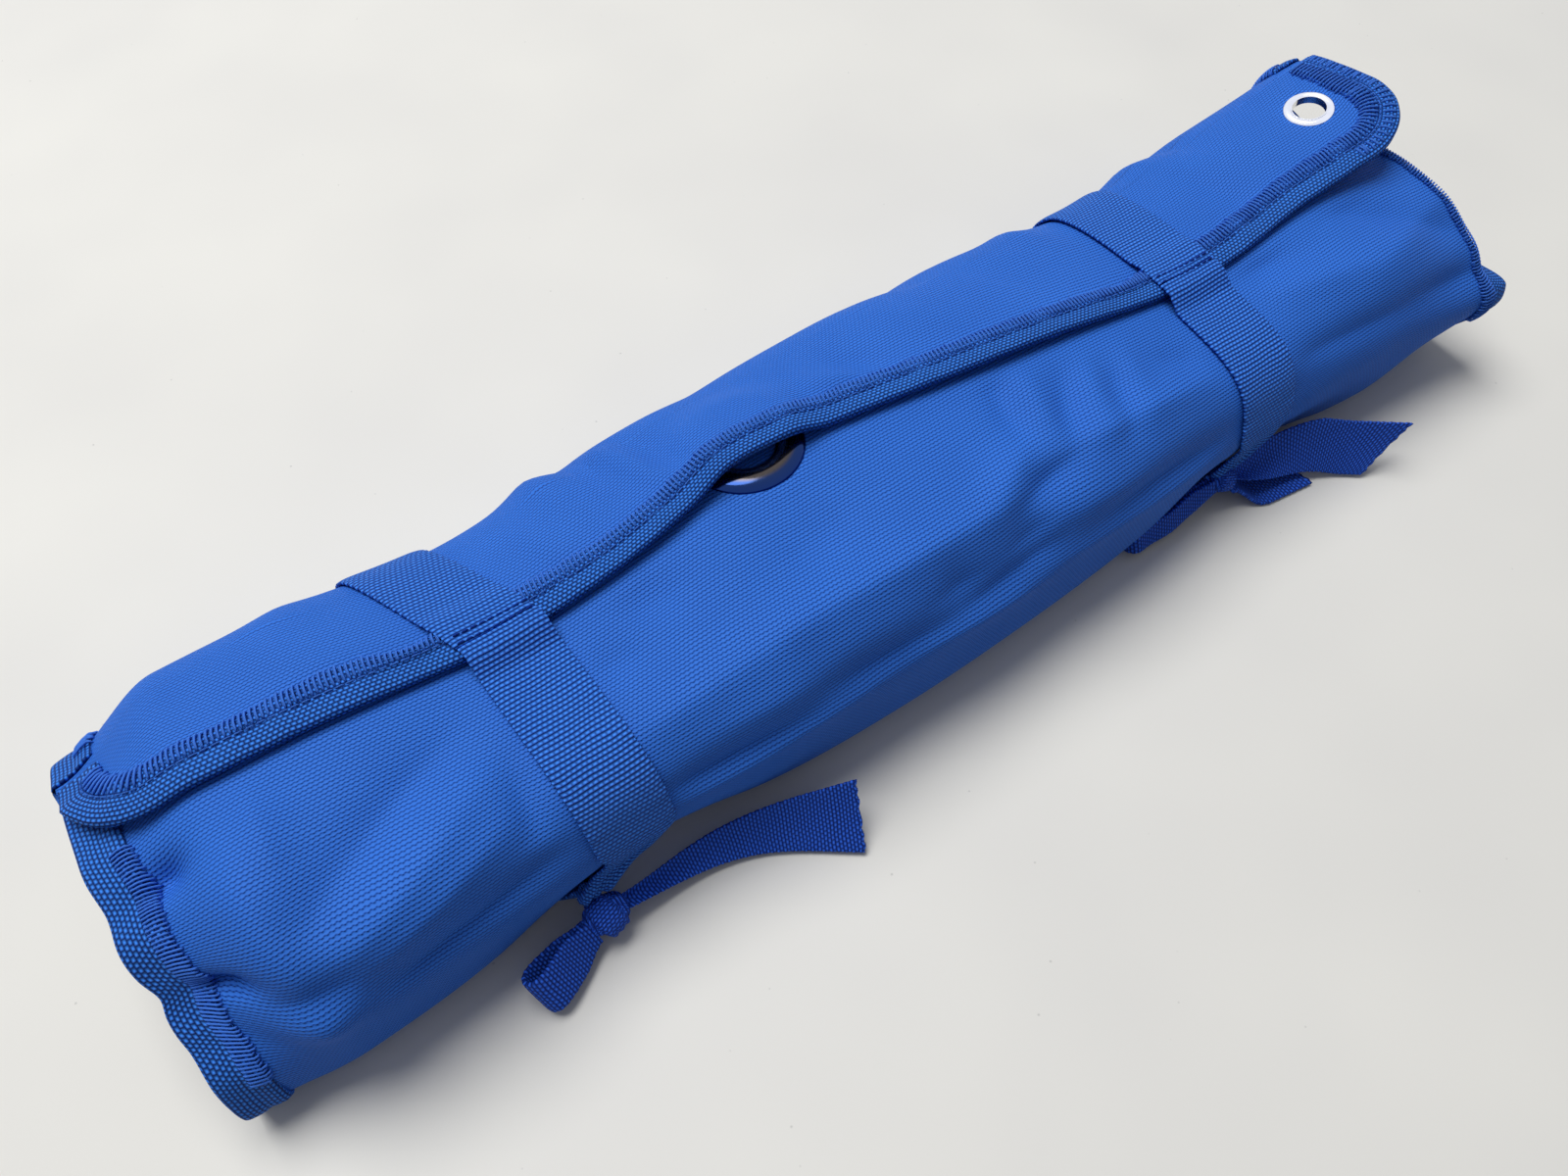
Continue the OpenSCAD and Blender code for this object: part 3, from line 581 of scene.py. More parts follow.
FABRIC = woven("oxford_cloth", srgb(0, 10, 96), srgb(56, 124, 228), 1.15, 1.5, 0.84, 0.4, dots=True)
TAPE = woven("binding_tape", srgb(0, 8, 80), srgb(66, 146, 255), 1.2, 1.6, 0.95, 0.55, slow=0.14)
WEBBING = woven("webbing", srgb(0, 10, 104), srgb(70, 146, 255), 1.4, 1.6, 0.6, 0.65)
# a darker copy of the straps' webbing, with a finer weave, for the tails, knots and loops that lie low by the
# table: the darker colours are painted shade
WEBBING_PAINTED_SHADE = woven("webbing_with_painted_shade", srgb(2, 12, 90), srgb(56, 116, 245), 1.1, 1.6, 0.75, 0.45)
THREAD = woven("thread", srgb(22, 76, 200), srgb(92, 158, 252), 0.5, 0.5, 0.6, 0.08)
SEAM_THREAD = woven("dark_thread", srgb(8, 30, 112), srgb(24, 74, 186), 0.5, 0.5, 0.6, 0.08)
FOAM = foam_material()
STEEL = metal("polished_steel", (0.9, 0.9, 0.9), (0.78, 0.78, 0.79), 0.1)
# the large eyelet and its washer: near black at the hole (painted shade), a bright band (painted highlight),
# then brown-grey and dark blue bands (painted reflections; the blue one is of the cloth)
EYELET_PAINTED_REFLECTIONS = metal("chrome_painted_reflections", (0.3, 0.28, 0.27), (0.2, 0.19, 0.19), 0.07, [
    (0.0105, (0.02, 0.02, 0.025)), (0.0116, (0.75, 0.7, 0.66)), (0.0127, (0.7, 0.64, 0.6)),
    (0.0137, (0.1, 0.08, 0.065)), (0.0155, (0.07, 0.06, 0.055)), (0.0168, (0.016, 0.035, 0.11)),
    (0.0196, (0.01, 0.03, 0.13))])

# ---- cover


def arc_uv(p):
    """UV in mm: along X, and the length run round the section."""
    step = np.linalg.norm(np.diff(p, axis=1), axis=-1)
    v = np.concatenate([np.zeros((p.shape[0], 1)), np.cumsum(step, axis=1)], 1)
    v = np.broadcast_to(v.mean(0, keepdims=True), v.shape)
    return np.stack([p[..., 0], v], -1)


def flap_points(xs, rows, up):
    """The flap from its fold to its edge, raised by up over its middle surface."""
    x = np.repeat(xs[:, None], rows, 1)
    y = mix(flap_fold(x), flap_edge(x), np.linspace(0, 1, rows)[None, :])
    return np.stack([x, y, flap_z(x, y) + up], -1)


def make_cover():
    xs = np.unique(np.concatenate([
        np.linspace(-HALF_L, HALF_L, 201), np.linspace(-HALF_L, -206, 41), np.linspace(208, HALF_L, 29)]))
    ang = np.concatenate([np.arange(SHEET_START, FRONT_FROM, 4.0), np.arange(FRONT_FROM, -130, 1.15),
                          np.arange(-130, FOLD_ANGLE - 1.5, 3.0), [FOLD_ANGLE - 1]])
    x, a = np.meshgrid(xs, ang, indexing="ij")
    body = cloth_point(x, a, 0)
    body[..., 2] = np.maximum(body[..., 2], floor_z(x))
    outer = np.concatenate([body, flap_points(xs, 50, FABRIC_T / 2)], 1)
    inner = outer + grid_normals(outer) * FABRIC_T
    cells = np.ones((outer.shape[0] - 1, outer.shape[1] - 1), bool)
    past = xs[:-1] > CORNER_X
    cells[past[:, None] & (np.arange(cells.shape[1])[None, :] >= len(ang) - 1)] = False
    return plate("cover_cloth", outer, inner, arc_uv(outer), FABRIC, cells)


low, high = (np.array(corner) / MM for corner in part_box("corner_eyelet"))
EYELET = (low + high) / 2
EYELET_CUT = 7.2  # radius of the hole cut in the cloth for it
OVER_COVER = 0.06  # the corner's cloth lies this far over the cover's


def make_corner_cloth():
    xs = np.linspace(CORNER_X - 4, FLAP_END, 100)
    x, a = np.meshgrid(xs, np.linspace(40, FOLD_ANGLE - 1, 8), indexing="ij")
    outer = np.concatenate([cloth_point(x, a, OVER_COVER), flap_points(xs, 60, FABRIC_T / 2 + OVER_COVER)], 1)
    inner = outer + grid_normals(outer) * FABRIC_T
    mid = (outer[:-1, :-1] + outer[1:, 1:]) / 2
    off_hole = np.hypot(mid[..., 0] - EYELET[0], mid[..., 1] - EYELET[1]) > EYELET_CUT
    return plate("flap_corner_cloth", outer, inner, arc_uv(outer), FABRIC, off_hole)


cover = make_cover()
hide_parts("cover_sheet", "flap")
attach(cover, "roll")
corner = make_corner_cloth()
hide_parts("right_flap_corner")

# The corner turns about its fold line, the right_corner_fold joint: the direction along it, the direction
# across it and a point on it are read here, and the corner is baked into world space
hinge = next(j for j in frame["joints"] if j["name"] == "right_corner_fold")
along = np.array(hinge["axis"]) / np.linalg.norm(hinge["axis"])
across = np.cross([0, 0, 1], along)
across /= np.linalg.norm(across)
across *= -1 if across[1] > 0 else 1
fold_at = np.array(hinge["pos_m"])
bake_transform(corner)

# ---- binding


def tape_section(rows):
    """The tape's section round an edge, as [distance in from the edge, height over the fabric's middle]."""
    top = BINDING_H
    d = np.concatenate([np.linspace(BINDING_W, 0, rows), [-0.7, -1.08, -1.08, -0.7],
                        np.linspace(0, BINDING_W, rows)])
    h = np.concatenate([np.full(rows, top), [top * 0.8, top * 0.4, -top * 0.4, -top * 0.8],
                        np.full(rows, -top)])
    part = clamp01(d / BINDING_W)
    # two puffs with the seam between them
    crown = 0.35 * np.abs(np.sin(2 * np.pi * part)) * (h > 0) * (part > 0)
    return np.stack([d, h + crown - np.sign(h) * 0.45 * (part > 0.99)], -1)


def edge_direction(x):
    s = (flap_edge(np.minimum(x + 0.2, FLAP_END)) - flap_edge(np.maximum(x - 0.2, -HALF_L))) / 0.4
    return np.stack([-s, np.ones_like(s)], -1) / np.sqrt(s * s + 1)[..., None]


def flap_path(xs, right=False):
    """The flap's edge from left to right, as rows of [x, y, inward x, inward y].
    It runs on up to the fold at the left end, or with right at the right one."""
    n = edge_direction(xs)
    rows = np.stack([xs, flap_edge(xs), n[:, 0], n[:, 1]], -1)
    if right:
        y = np.arange(rows[-1, 1] + 1, float(flap_fold(np.float64(FLAP_END))) - 0.5, 1.2)
        side = np.stack([np.full_like(y, FLAP_END), y, np.full_like(y, -1), 0 * y], -1)
        return np.concatenate([rows, side])
    y = np.arange(float(flap_fold(np.float64(-HALF_L))) + 0.4, rows[0, 1] + 1, -1)
    turn = smooth((y - rows[0, 1]) / 7)[:, None]
    side = np.stack([np.full_like(y, -HALF_L + 1.4), y], -1)
    first = rows[:1]
    side = mix(first[:, :2] * [1, 0] + y[:, None] * [0, 1], side, turn)
    inward = mix(first[:, 2:], np.array([[1.0, 0.0]]), turn)
    inward /= np.linalg.norm(inward, axis=1, keepdims=True)
    return np.concatenate([np.concatenate([side, inward], -1), rows])


def run_along(rows):
    """The length run along the path at each of its rows."""
    return np.concatenate([[0], np.cumsum(np.hypot(np.diff(rows[:, 0]), np.diff(rows[:, 1])))])


def narrower(x):
    """The tape looks narrower between the straps, where its inner edge is turned up."""
    return mix(0.84, 1, smooth((np.abs(x) - 92) / 30))


TUCK_IN, TUCK_UP = 3.6, 1.1  # what the tape loses in width there, and gains in height


def tucked(x):
    """Left of each strap the tape's inner edge is folded over, from 0 to 1."""
    return bell(x, -STRAP_X - 24, 9) + 0.8 * bell(x, STRAP_X - 24, 9)


def flap_tape(name, rows):
    section = tape_section(9)
    run = run_along(rows)
    part = clamp01(section[None, :, 0] / BINDING_W)
    above = section[None, :, 1] > 0
    fold = tucked(rows[:, :1]) * above * part ** 2
    d = section[None, :, 0] * narrower(rows[:, :1]) - TUCK_IN * fold
    qx = rows[:, :1] + d * rows[:, 2:3]
    qy = rows[:, 1:2] + d * rows[:, 3:4]
    wave = 0.22 * np.sin(run / 3.1) * np.sin(run / 17.0) + 0.16 * np.sin(run / 1.9 + 1)
    pucker = wave[:, None] * clamp01(part + 0.3)
    z, up = flap_z(qx, qy), section[None, :, 1]
    outer = np.stack([qx, qy, z + up + pucker * np.sign(up) + TUCK_UP * fold], -1)
    inner = np.stack([qx, qy, z + up * 0.5], -1)
    round_edge = np.cumsum(np.r_[0, np.hypot(*np.diff(section, axis=0).T)])
    uv = np.stack(np.broadcast_arrays(run[:, None], round_edge[None, :]), -1)
    return plate(name, outer, inner, uv, TAPE)


def bend_stations(bend, end):
    """Where the tape has its rows round a rounded corner that ends at end, for that share of its bend."""
    return end - CORNER_R * (1 - np.sin(np.radians(88 * np.linspace(0, bend, 40))))


left_rows = flap_path(np.concatenate([
    -bend_stations(0.8, HALF_L)[::-1], np.arange(-HALF_L + CORNER_R + 1, CORNER_X + 2, 1.2)]))
tape_main = flap_tape("flap_binding_tape", left_rows)
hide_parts("flap_binding")
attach(tape_main, "roll")
right_rows = flap_path(np.concatenate([
    np.arange(CORNER_X - 2, FLAP_END - CORNER_R - 0.5, 1.2), bend_stations(1, FLAP_END)]), right=True)
tape_corner = flap_tape("corner_binding_tape", right_rows)
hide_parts("right_corner_binding")
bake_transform(tape_corner)


def end_tape(name, side):
    last = FOLD_ANGLE - (2 if side < 0 else 7)
    ang = np.concatenate([np.arange(SHEET_START, FRONT_FROM, 1.5), np.arange(FRONT_FROM, -150, 0.8),
                          np.arange(-150, last, 1.2)])
    section = tape_section(7)[::side]
    d, a = np.meshgrid(section[:, 0], ang, indexing="ij")
    up = np.broadcast_to(section[:, 1:], d.shape)
    x = side * (HALF_L - d)
    run = length_run(cloth_point(np.full_like(ang, side * HALF_L), ang, 0))
    pucker = (0.25 + 0.2 * (side < 0)) * np.sin(run / 2.3 + 0.8 * np.sin(run / 9.0))[None, :]
    small = pucker * smooth((a + 280) / 20) * np.sign(up)
    outer = cloth_point(x, a, up - FABRIC_T / 2 + small)
    inner = cloth_point(x, a, up * 0.5 - FABRIC_T / 2)
    for grid in (outer, inner):
        grid[..., 2] = np.maximum(grid[..., 2], 0.02)
    uv = np.stack([np.broadcast_to(run[None, :], d.shape),
                   np.broadcast_to(section[:, :1], d.shape) * np.sign(up + 0.01)], -1)
    return plate(name, outer, inner, uv, TAPE)


for side, word in SIDES:
    tape = end_tape(f"{word}_end_tape", side)
    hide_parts(f"{word}_end_binding")
    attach(tape, "roll")


def overlock(place, tips, radius=0.42):
    """Overlock stitches: threads square to the edge over the tape's inner part.
    place(s, d, up) gives a point: s along the edge, d in from it, up over the cloth."""
    parts = []
    for k, s in enumerate(tips):
        uneven = 0.35 * math.sin(k * 2.4) + 0.25 * math.sin(k * 0.73)
        ends = ((BINDING_W + 0.9 + uneven, 0.05, 0.35), (BINDING_W + 0.4 + uneven, 0.9, 0.3),
                (BINDING_W - 0.6, 1.8, 0.1), (BINDING_W - 2.6, 2.1, -0.2),
                (BINDING_W - 4.8 + uneven * 0.5, 1.9, -0.3), (BINDING_W - 5.4, 1.3, -0.35))
        parts.append(tube([place(s + lean, d, up) for d, up, lean in ends], radius, 5))
    return parts


def edge_stitches(name, rows, first, last, ribs_from=1e9):
    """Overlock stitches over the tape's inner edge, and a row of straight stitches along its middle.
    Past ribs_from along the edge, ribs cross the tape's outer half too."""
    run = run_along(rows)
    inner_run = run_along(rows[:, :2] + BINDING_W * rows[:, 2:4])
    tips = np.interp(np.arange(0, inner_run[-1], 1.46), inner_run, run)
    tips = tips[(tips > first) & (tips < last)]

    def place(s, d, up):
        x, y, nx, ny = (np.interp(s, run, rows[:, i]) for i in range(4))
        d = d * narrower(x) - TUCK_IN * tucked(x) * clamp01(d / BINDING_W) ** 2
        qx, qy = x + d * nx, y + d * ny
        z = float(flap_z(np.float64(qx), np.float64(qy)))
        return [qx, qy, z + FABRIC_T / 2 + up + TUCK_UP * tucked(x)]

    parts = overlock(place, tips)
    for s in np.arange(first, last - 3, 3.0):
        parts.append(tube([place(s + k, BINDING_W * 0.5, HEM_T + h)
                           for k, h in ((0, -0.05), (0.5, 0.35), (2.1, 0.35), (2.6, -0.05))], 0.26, 5))
    for s in tips[tips > ribs_from]:
        wave = 0.4 * math.sin(s * 1.7)
        across_tape = ((0, 0.44, 0.0), (0.5, 0.38, 0.45), (1, 0.24, 0.62), (0.6, 0.1, 0.45), (0, 0.03, 0.0))
        parts.append(tube([place(s + wave * k, BINDING_W * d, HEM_T + h) for k, d, h in across_tape], 0.5, 5))
    return merged(name, parts, THREAD)


stitch_main = edge_stitches("binding_stitches", left_rows, 2, run_along(left_rows)[-1] - 1)
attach(stitch_main, "roll")
stitch_corner = edge_stitches("corner_binding_stitches", right_rows, 7, run_along(right_rows)[-1] - 1, 76)
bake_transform(stitch_corner)


def end_stitches(name, side):
    """Overlock stitches over the inner edge of an end's tape, where its outer turn is off the ground."""
    ang = np.arange(-277, FOLD_ANGLE - 8, 0.5)
    run = length_run(cloth_point(np.full_like(ang, side * (HALF_L - BINDING_W)), ang, 0))

    def place(s, d, up):
        a = np.array([np.interp(s, run, ang)])
        p = cloth_point(np.array([side * (HALF_L - d)]), a, up)[0]
        return [p[0], p[1], max(p[2], 0.5)]

    under, behind = np.interp(-168, ang, run), np.interp(-8, ang, run)
    tips = np.concatenate([np.arange(1, under, 1.2), np.arange(behind, run[-1] - 1, 1.2)])
    parts = overlock(place, tips, 0.34)
    return merged(name, parts, THREAD)


for side, word in SIDES:
    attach(end_stitches(f"{word}_end_stitches", side), "roll")

# ---- straps

# To match the photograph at rest, the knots lie 5.2 mm (left) and 4.6 mm (right) off the axes of their
# tails and loops, so at the joints' limits these come off their knot or turn into it.
KNOT_ANGLE, NEST = 209, 0.5
KNOT_SIZE = {-1: 6.6, 1: 4.8}
KNOT_DROP = {-1: (0, -2.2, -3.4), 1: (0, 1.6, 0)}
KNOT_SHIFT = {-1: -17, 1: -10.5}
FRONT_LEAN = {-1: -0.045, 1: 0.04}
BACK_LEAN = {-1: -0.38, 1: 0.04}
ROOT_IN = 0.4  # a tail or loop starts this far inside its knot, at rest
OFF_FLOOR = 0.4  # the loose ends lie this far over the ground
SEAM_Y = {s: float(flap_edge(np.float64(s * STRAP_X))) for s in (-1, 1)}


def wall_y(side, a):
    return skin(side * STRAP_X, a)[..., 1]


def strap_front_x(side):
    return side * STRAP_X + FRONT_LEAN[side] * (float(wall_y(side, 180)) - SEAM_Y[side])


def strap_back_x(side):
    return side * STRAP_X + BACK_LEAN[side] * (float(wall_y(side, 0)) - SEAM_Y[side])


def strap_mid_x(side, a):
    w = wall_y(side, a)
    front = (side * STRAP_X + FRONT_LEAN[side] * (np.maximum(w, wall_y(side, 180)) - SEAM_Y[side])
             + KNOT_SHIFT[side] * smooth((a - 178) / 30))
    back = side * STRAP_X + BACK_LEAN[side] * (w - SEAM_Y[side])
    under = mix(strap_back_x(side), strap_front_x(side) + KNOT_SHIFT[side], smooth((-20 - a) / 120))
    return np.where((a > 90) | ((a > 0) & (w < SEAM_Y[side])), front, np.where(a > 0, back, under))


def over_flap(x, y):
    """How far a strap has to rise to pass over the flap and its tape."""
    e = flap_edge(x)
    cloth = mix(BINDING_H, FABRIC_T / 2, smooth((y - e - BINDING_W) / 6))
    on = flap_rise_at(x, np.maximum(y, e)) + cloth + 0.3
    return np.maximum(0, on) * (1 - smooth((e - 2 - y) / 8))


def strap_point(x, a, up):
    p = skin(x, a, -LAYER_GAP - up)
    rise = over_flap(x, p[..., 1]) * smooth(sind(a) * 4 - 2)
    p[..., 2] += np.where(sind(a) > 0.5, rise, 0)
    return p


def drawn_in(a):
    """How much of its width a strap keeps as it is gathered towards the knot."""
    return 1 - 0.6 * smooth((a - 168) / 36) - 0.55 * smooth((-128 - a) / 20)


def strap(name, node, side, ang):
    k = np.sin(np.linspace(-np.pi / 2, np.pi / 2, 27))
    kk, aa = np.meshgrid(k, ang, indexing="ij")
    nip = 1 - drawn_in(aa)
    lap = smooth((aa - 176) / 26) * (kk > 0)  # the edge that rolls over above the knot
    edge = np.abs(kk) ** 8
    x = strap_mid_x(side, aa) + kk * STRAP_W / 2 * drawn_in(aa) * (1 + 0.012 * np.sin(aa * 2.1) * edge)
    x = x + 2.2 * lap * kk ** 3
    pleat = (1.1 * nip * (1 + np.cos(3 * np.pi * kk)) + 1.6 * lap * kk ** 2
             + (3.2 if side < 0 else 0.8) * smooth((aa - 190) / 16))
    lift = 0.35 * np.sin(aa / 7.0 + side) * np.sin(aa / 2.9) * (aa > 100)
    outer = strap_point(x, aa, STRAP_T * (1 - 0.35 * edge) + pleat + np.maximum(lift, 0) * kk ** 2)
    inner = strap_point(x, aa, 0.25 * STRAP_T * edge + 0.7 * pleat)
    run = length_run(outer[len(k) // 2])
    uv = np.stack([kk * STRAP_W / 2, np.broadcast_to(run[None, :], kk.shape)], -1)
    ob = plate(name, outer, inner, uv, WEBBING)
    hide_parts(node)
    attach(ob, "roll")


def seam_angle(side):
    return math.degrees(math.acos(SEAM_Y[side] / ROLL_HALF_W)) - 2


for side, word in SIDES:
    seam = seam_angle(side)
    back = np.concatenate([np.linspace(KNOT_ANGLE - 359, 20, 150), np.linspace(20.5, seam - 0.3, 80)])
    front = np.concatenate([np.linspace(seam + 0.3, 130, 60), np.linspace(130.5, KNOT_ANGLE - 1, 110)])
    strap(f"{word}_strap_back_webbing", f"{word}_strap_back", side, back)
    strap(f"{word}_strap_front_webbing", f"{word}_strap_front", side, front)

# ---- knots, tails and loops


def knot_at(side):
    clear = 2 * LAYER_GAP + STRAP_T + KNOT_SIZE[side] - NEST
    return skin(strap_front_x(side) + KNOT_SHIFT[side], KNOT_ANGLE, -clear).reshape(3) + KNOT_DROP[side]


def across_dir(h, roll):
    """Across webbing that heads h degrees round from +X and is rolled by roll."""
    return np.stack([-sind(h) * cosd(roll), cosd(h) * cosd(roll), sind(roll) * np.ones_like(h)], -1)


def ribbon(name, node, centre, wide, half, bend=0.0, slant=0.0):
    """Webbing along a path: centre (n, 3), direction across (n, 3) and half width (n), in mm.
    bend arches it across, and slant cuts its end at an angle."""
    t = np.gradient(centre, axis=0)
    t /= np.linalg.norm(t, axis=1, keepdims=True)
    up = np.cross(t, wide)
    up /= np.linalg.norm(up, axis=1, keepdims=True)
    k = np.sin(np.linspace(-np.pi / 2, np.pi / 2, 17))
    run = length_run(centre)
    kk, rr = np.meshgrid(k, run, indexing="ij")
    ragged = 0.12 * np.sin(rr * 2 * np.pi / 2.1 + 0.6 * np.sin(rr)) * np.abs(kk) ** 10
    reach = slant * kk * clamp01(rr / run[-1]) ** 4 + 0.35 * np.sin(kk * 21) * (rr > run[-1] - 0.8)
    base = (centre[None] + (kk * half[None] + ragged * np.sign(kk))[..., None] * wide[None]
            + reach[..., None] * t[None])
    arch = bend * (kk ** 2 - 0.4)
    lift = STRAP_T / 2 * (1 - 0.35 * np.abs(kk) ** 6)
    outer = base + (lift + arch)[..., None] * up[None]
    inner = base + (-lift + arch)[..., None] * up[None]
    uv = np.stack([kk * half[None], rr], -1)
    ob = plate(name, outer, inner, uv, WEBBING_PAINTED_SHADE)
    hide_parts(node)
    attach(ob, node)


def tail(name, node, side, heading, bend, length, roll, wide, full, opening, over, slant):
    """A loose end: it leaves the knot narrow and has its width from the share full of its length on.
    It turns by bend from heading, and lies at the height over before it comes to the ground."""
    k = knot_at(side)
    n = 110
    t = np.linspace(0, 1, n)
    head = heading + bend * smooth((t - 0.1) / 0.8)
    step = length / (n - 1) * np.stack([cosd(head), sind(head), 0 * head], -1)
    place = (k + (KNOT_SIZE[side] - ROOT_IN) * np.array([cosd(heading), sind(heading), 0])
             + np.concatenate([np.zeros((1, 3)), np.cumsum(step[1:], 0)]))
    half = STRAP_W / 2 * mix(0.2, wide, clamp01(t / full) ** opening)
    tip = mix(25, roll, smooth(t * 1.6))
    low = mix(over, OFF_FLOOR, smooth((t - 0.5) / 0.3))
    height = half * sind(tip) + STRAP_T / 2 + low
    place[:, 2] = height + (k[2] - height[0]) * (1 - t) ** 3
    arch = 1.0 + 2.6 * (1 - smooth(t * 2.4))
    ribbon(name, node, place, across_dir(head, tip), half, arch[None, :], slant)


tail("left_tail_webbing", "left_tail", -1, heading=1, bend=-32, length=77, roll=50,
     wide=1, full=1, opening=1.4, over=OFF_FLOOR, slant=-1.2)
tail("right_tail_webbing", "right_tail", 1, heading=-6, bend=-32, length=64, roll=62,
     wide=0.84, full=0.6, opening=0.7, over=STRAP_T + 1.2, slant=6.5)


def short_tail():
    """The short end, flat under the right tail."""
    k, rows, reach = knot_at(1), 60, 34
    t = np.linspace(0, 1, rows)
    start = 0.6 * KNOT_SIZE[1]
    run = start + t * (reach - start)
    z = mix(k[2] - 4, STRAP_T / 2 + OFF_FLOOR, smooth(t / 0.4))
    h = np.full(rows, -8.0)
    centre = np.stack([k[0] + run * cosd(h), k[1] + run * sind(h), z], -1)
    half = STRAP_W / 2 * mix(0.4, 0.9, smooth(t * 2))
    ribbon("right_short_tail_webbing", "right_short_tail", centre, across_dir(h, 0 * h), half, 0.3, -4.0)


short_tail()


def loop(name, node, side, heading, roll, wide, length, crumple):
    """A bow's loop: webbing that goes out from the knot, turns over and comes back under itself."""
    k, size = knot_at(side), KNOT_SIZE[side]
    out = np.array([cosd(heading), sind(heading), 0])
    w = across_dir(np.array([float(heading)]), roll)[0]
    up = np.cross(out, w)
    gap = 3.4
    t = np.linspace(0, 1, 44)
    half = STRAP_W / 2 * wide
    z = half * sind(abs(roll)) + (gap + STRAP_T / 2) * cosd(roll) + OFF_FLOOR
    leg = np.stack([size - ROOT_IN + t * (length - gap), mix(STRAP_T / 2 + 0.2, gap, smooth(t)),
                    (k[2] - z) * (1 - t) ** 2], -1)
    b = np.radians(np.linspace(78, -78, 18))
    turn = np.stack([size - ROOT_IN + length - gap + gap * np.cos(b), gap * np.sin(b), 0 * b], -1)
    q = np.concatenate([leg, turn, leg[::-1] * [1, -1, 1]])
    q[:, 1] *= 1 + crumple * np.sin(q[:, 0] / 3.1)
    centre = (np.stack([np.full(len(q), k[0]), np.full(len(q), k[1]), z + q[:, 2]], -1)
              + q[:, :1] * out + q[:, 1:2] * up)
    narrow = 1 - 0.35 * (1 - smooth((q[:, 0] - size) / 10))
    ribbon(name, node, centre, np.tile(w, (len(q), 1)), half * narrow)


loop("left_loop_webbing", "left_loop", -1, heading=198, roll=-54, wide=0.54, length=23, crumple=0.08)
loop("right_loop_webbing", "right_loop", 1, heading=176, roll=-66, wide=0.34, length=38, crumple=0.16)


def grid_part(p, uv):
    """A grid of points as a part for merged()."""
    n, m = p.shape[:2]
    idx = np.arange(n * m).reshape(n, m)
    f = np.stack([idx[:-1, :-1], idx[1:, :-1], idx[1:, 1:], idx[:-1, 1:]], -1).reshape(-1, 4)
    return p.reshape(-1, 3), f.tolist(), uv.reshape(-1, 2)


def knot(side, node, bands):
    """A knot: gathered webbing that runs through it along the roll, and bands of webbing wound round that.
    bands: the angles that each is turned and tipped by, its radius in knot sizes and its half width in mm."""
    k, size = knot_at(side), KNOT_SIZE[side]
    s, u = np.meshgrid(np.linspace(-1, 1, 29), np.linspace(0, 2 * np.pi, 73), indexing="ij")
    r = size * 0.78 * (1 - (0.97 * s) ** 2) ** 0.3 * (1 + 0.13 * np.sin(5 * u + 1.5 * s) * np.abs(s) ** 0.5)
    core = np.stack([size * 1.02 * s, r * np.cos(u), r * np.sin(u)], -1)
    parts = [grid_part(k + core, np.stack([u * r, s * size], -1))]
    for turn, tip, radius, half in bands:
        u, v = np.meshgrid(np.linspace(0, 2 * np.pi, 91), np.linspace(-1, 1, 19), indexing="ij")
        rr = (size * radius * (1 - 0.3 * v ** 6 + 0.035 * np.cos(3 * np.pi * v))
              * (1 + 0.04 * np.cos(2 * u + turn)))
        ring = np.stack([v * half * (0.86 + 0.14 * np.cos(u - 2.4)), rr * np.cos(u), rr * np.sin(u)], -1)
        ct, st, cp, sp = cosd(turn), sind(turn), cosd(tip), sind(tip)
        tipped = ring @ np.array([[cp, 0, sp], [0, 1, 0], [-sp, 0, cp]])
        ring = tipped @ np.array([[ct, st, 0], [-st, ct, 0], [0, 0, 1]])
        parts.append(grid_part(k + ring, np.stack([v * half, u * size], -1)))
    ob = merged(f"{node}_webbing", parts, WEBBING_PAINTED_SHADE)
    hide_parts(node)
    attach(ob, "roll")


knot(-1, "left_knot", ((12, 14, 0.98, 4.4), (62, -24, 0.92, 3.0)))
knot(1, "right_knot", ((-14, -20, 0.9, 3.6), (48, 30, 0.86, 3.0)))


def strap_stitches():
    """Rows of stitches that sew each strap down at the flap's edge."""
    parts = []
    for side in (-1, 1):
        mid = float(strap_mid_x(side, np.array([seam_angle(side)]))[0])
        for row in (1.2, 4.0):
            for i in range(9):
                x = mid + (i - 4) * STRAP_W / 9.6
                y = float(flap_edge(np.float64(x))) + row
                a = math.degrees(math.acos(y / float(back_w(np.float64(x))))) - 1
                path = [strap_point(np.float64(x + dx), np.float64(a), STRAP_T + h).reshape(3)
                        for dx, h in ((-1.1, -0.1), (-0.6, 0.2), (0.6, 0.2), (1.1, -0.1))]
                parts.append(tube(path, 0.34, 6))
    ob = merged("strap_seam_stitches", parts, SEAM_THREAD)
    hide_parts("strap_stitching")
    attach(ob, "roll")


strap_stitches()

# ---- foam


def foam():
    depth = 2 * (FABRIC_T + LAYER_GAP) - LAYER_GAP + 0.3
    deepest = depth + FOAM_TURNS * TURN_PITCH + FOAM_T
    xs = np.concatenate([[-PAD_W / 2], np.linspace(-PAD_W / 2 + 3, PAD_W / 2 - 3, 60), [PAD_W / 2]])
    t = np.linspace(60 - 360 * FOAM_TURNS, 60, int(48 * FOAM_TURNS))
    x, tt = np.meshgrid(xs, t, indexing="ij")
    a = tt + 6.9 * np.sin(np.radians(4 * tt))
    squeeze = (half_h(x) - 1) / deepest

    def face(up):
        d = depth + TURN_PITCH * (60 - tt) / 360 + FOAM_T / 2 - up
        return skin(x, a, d, d * squeeze)

    outer, inner = face(FOAM_T / 2 - 0.05), face(-FOAM_T / 2 + 0.05)
    ob = plate("foam_roll", outer, inner, arc_uv(outer), FOAM)
    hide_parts("foam_pad")
    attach(ob, "roll")
    return ob


pad = foam()

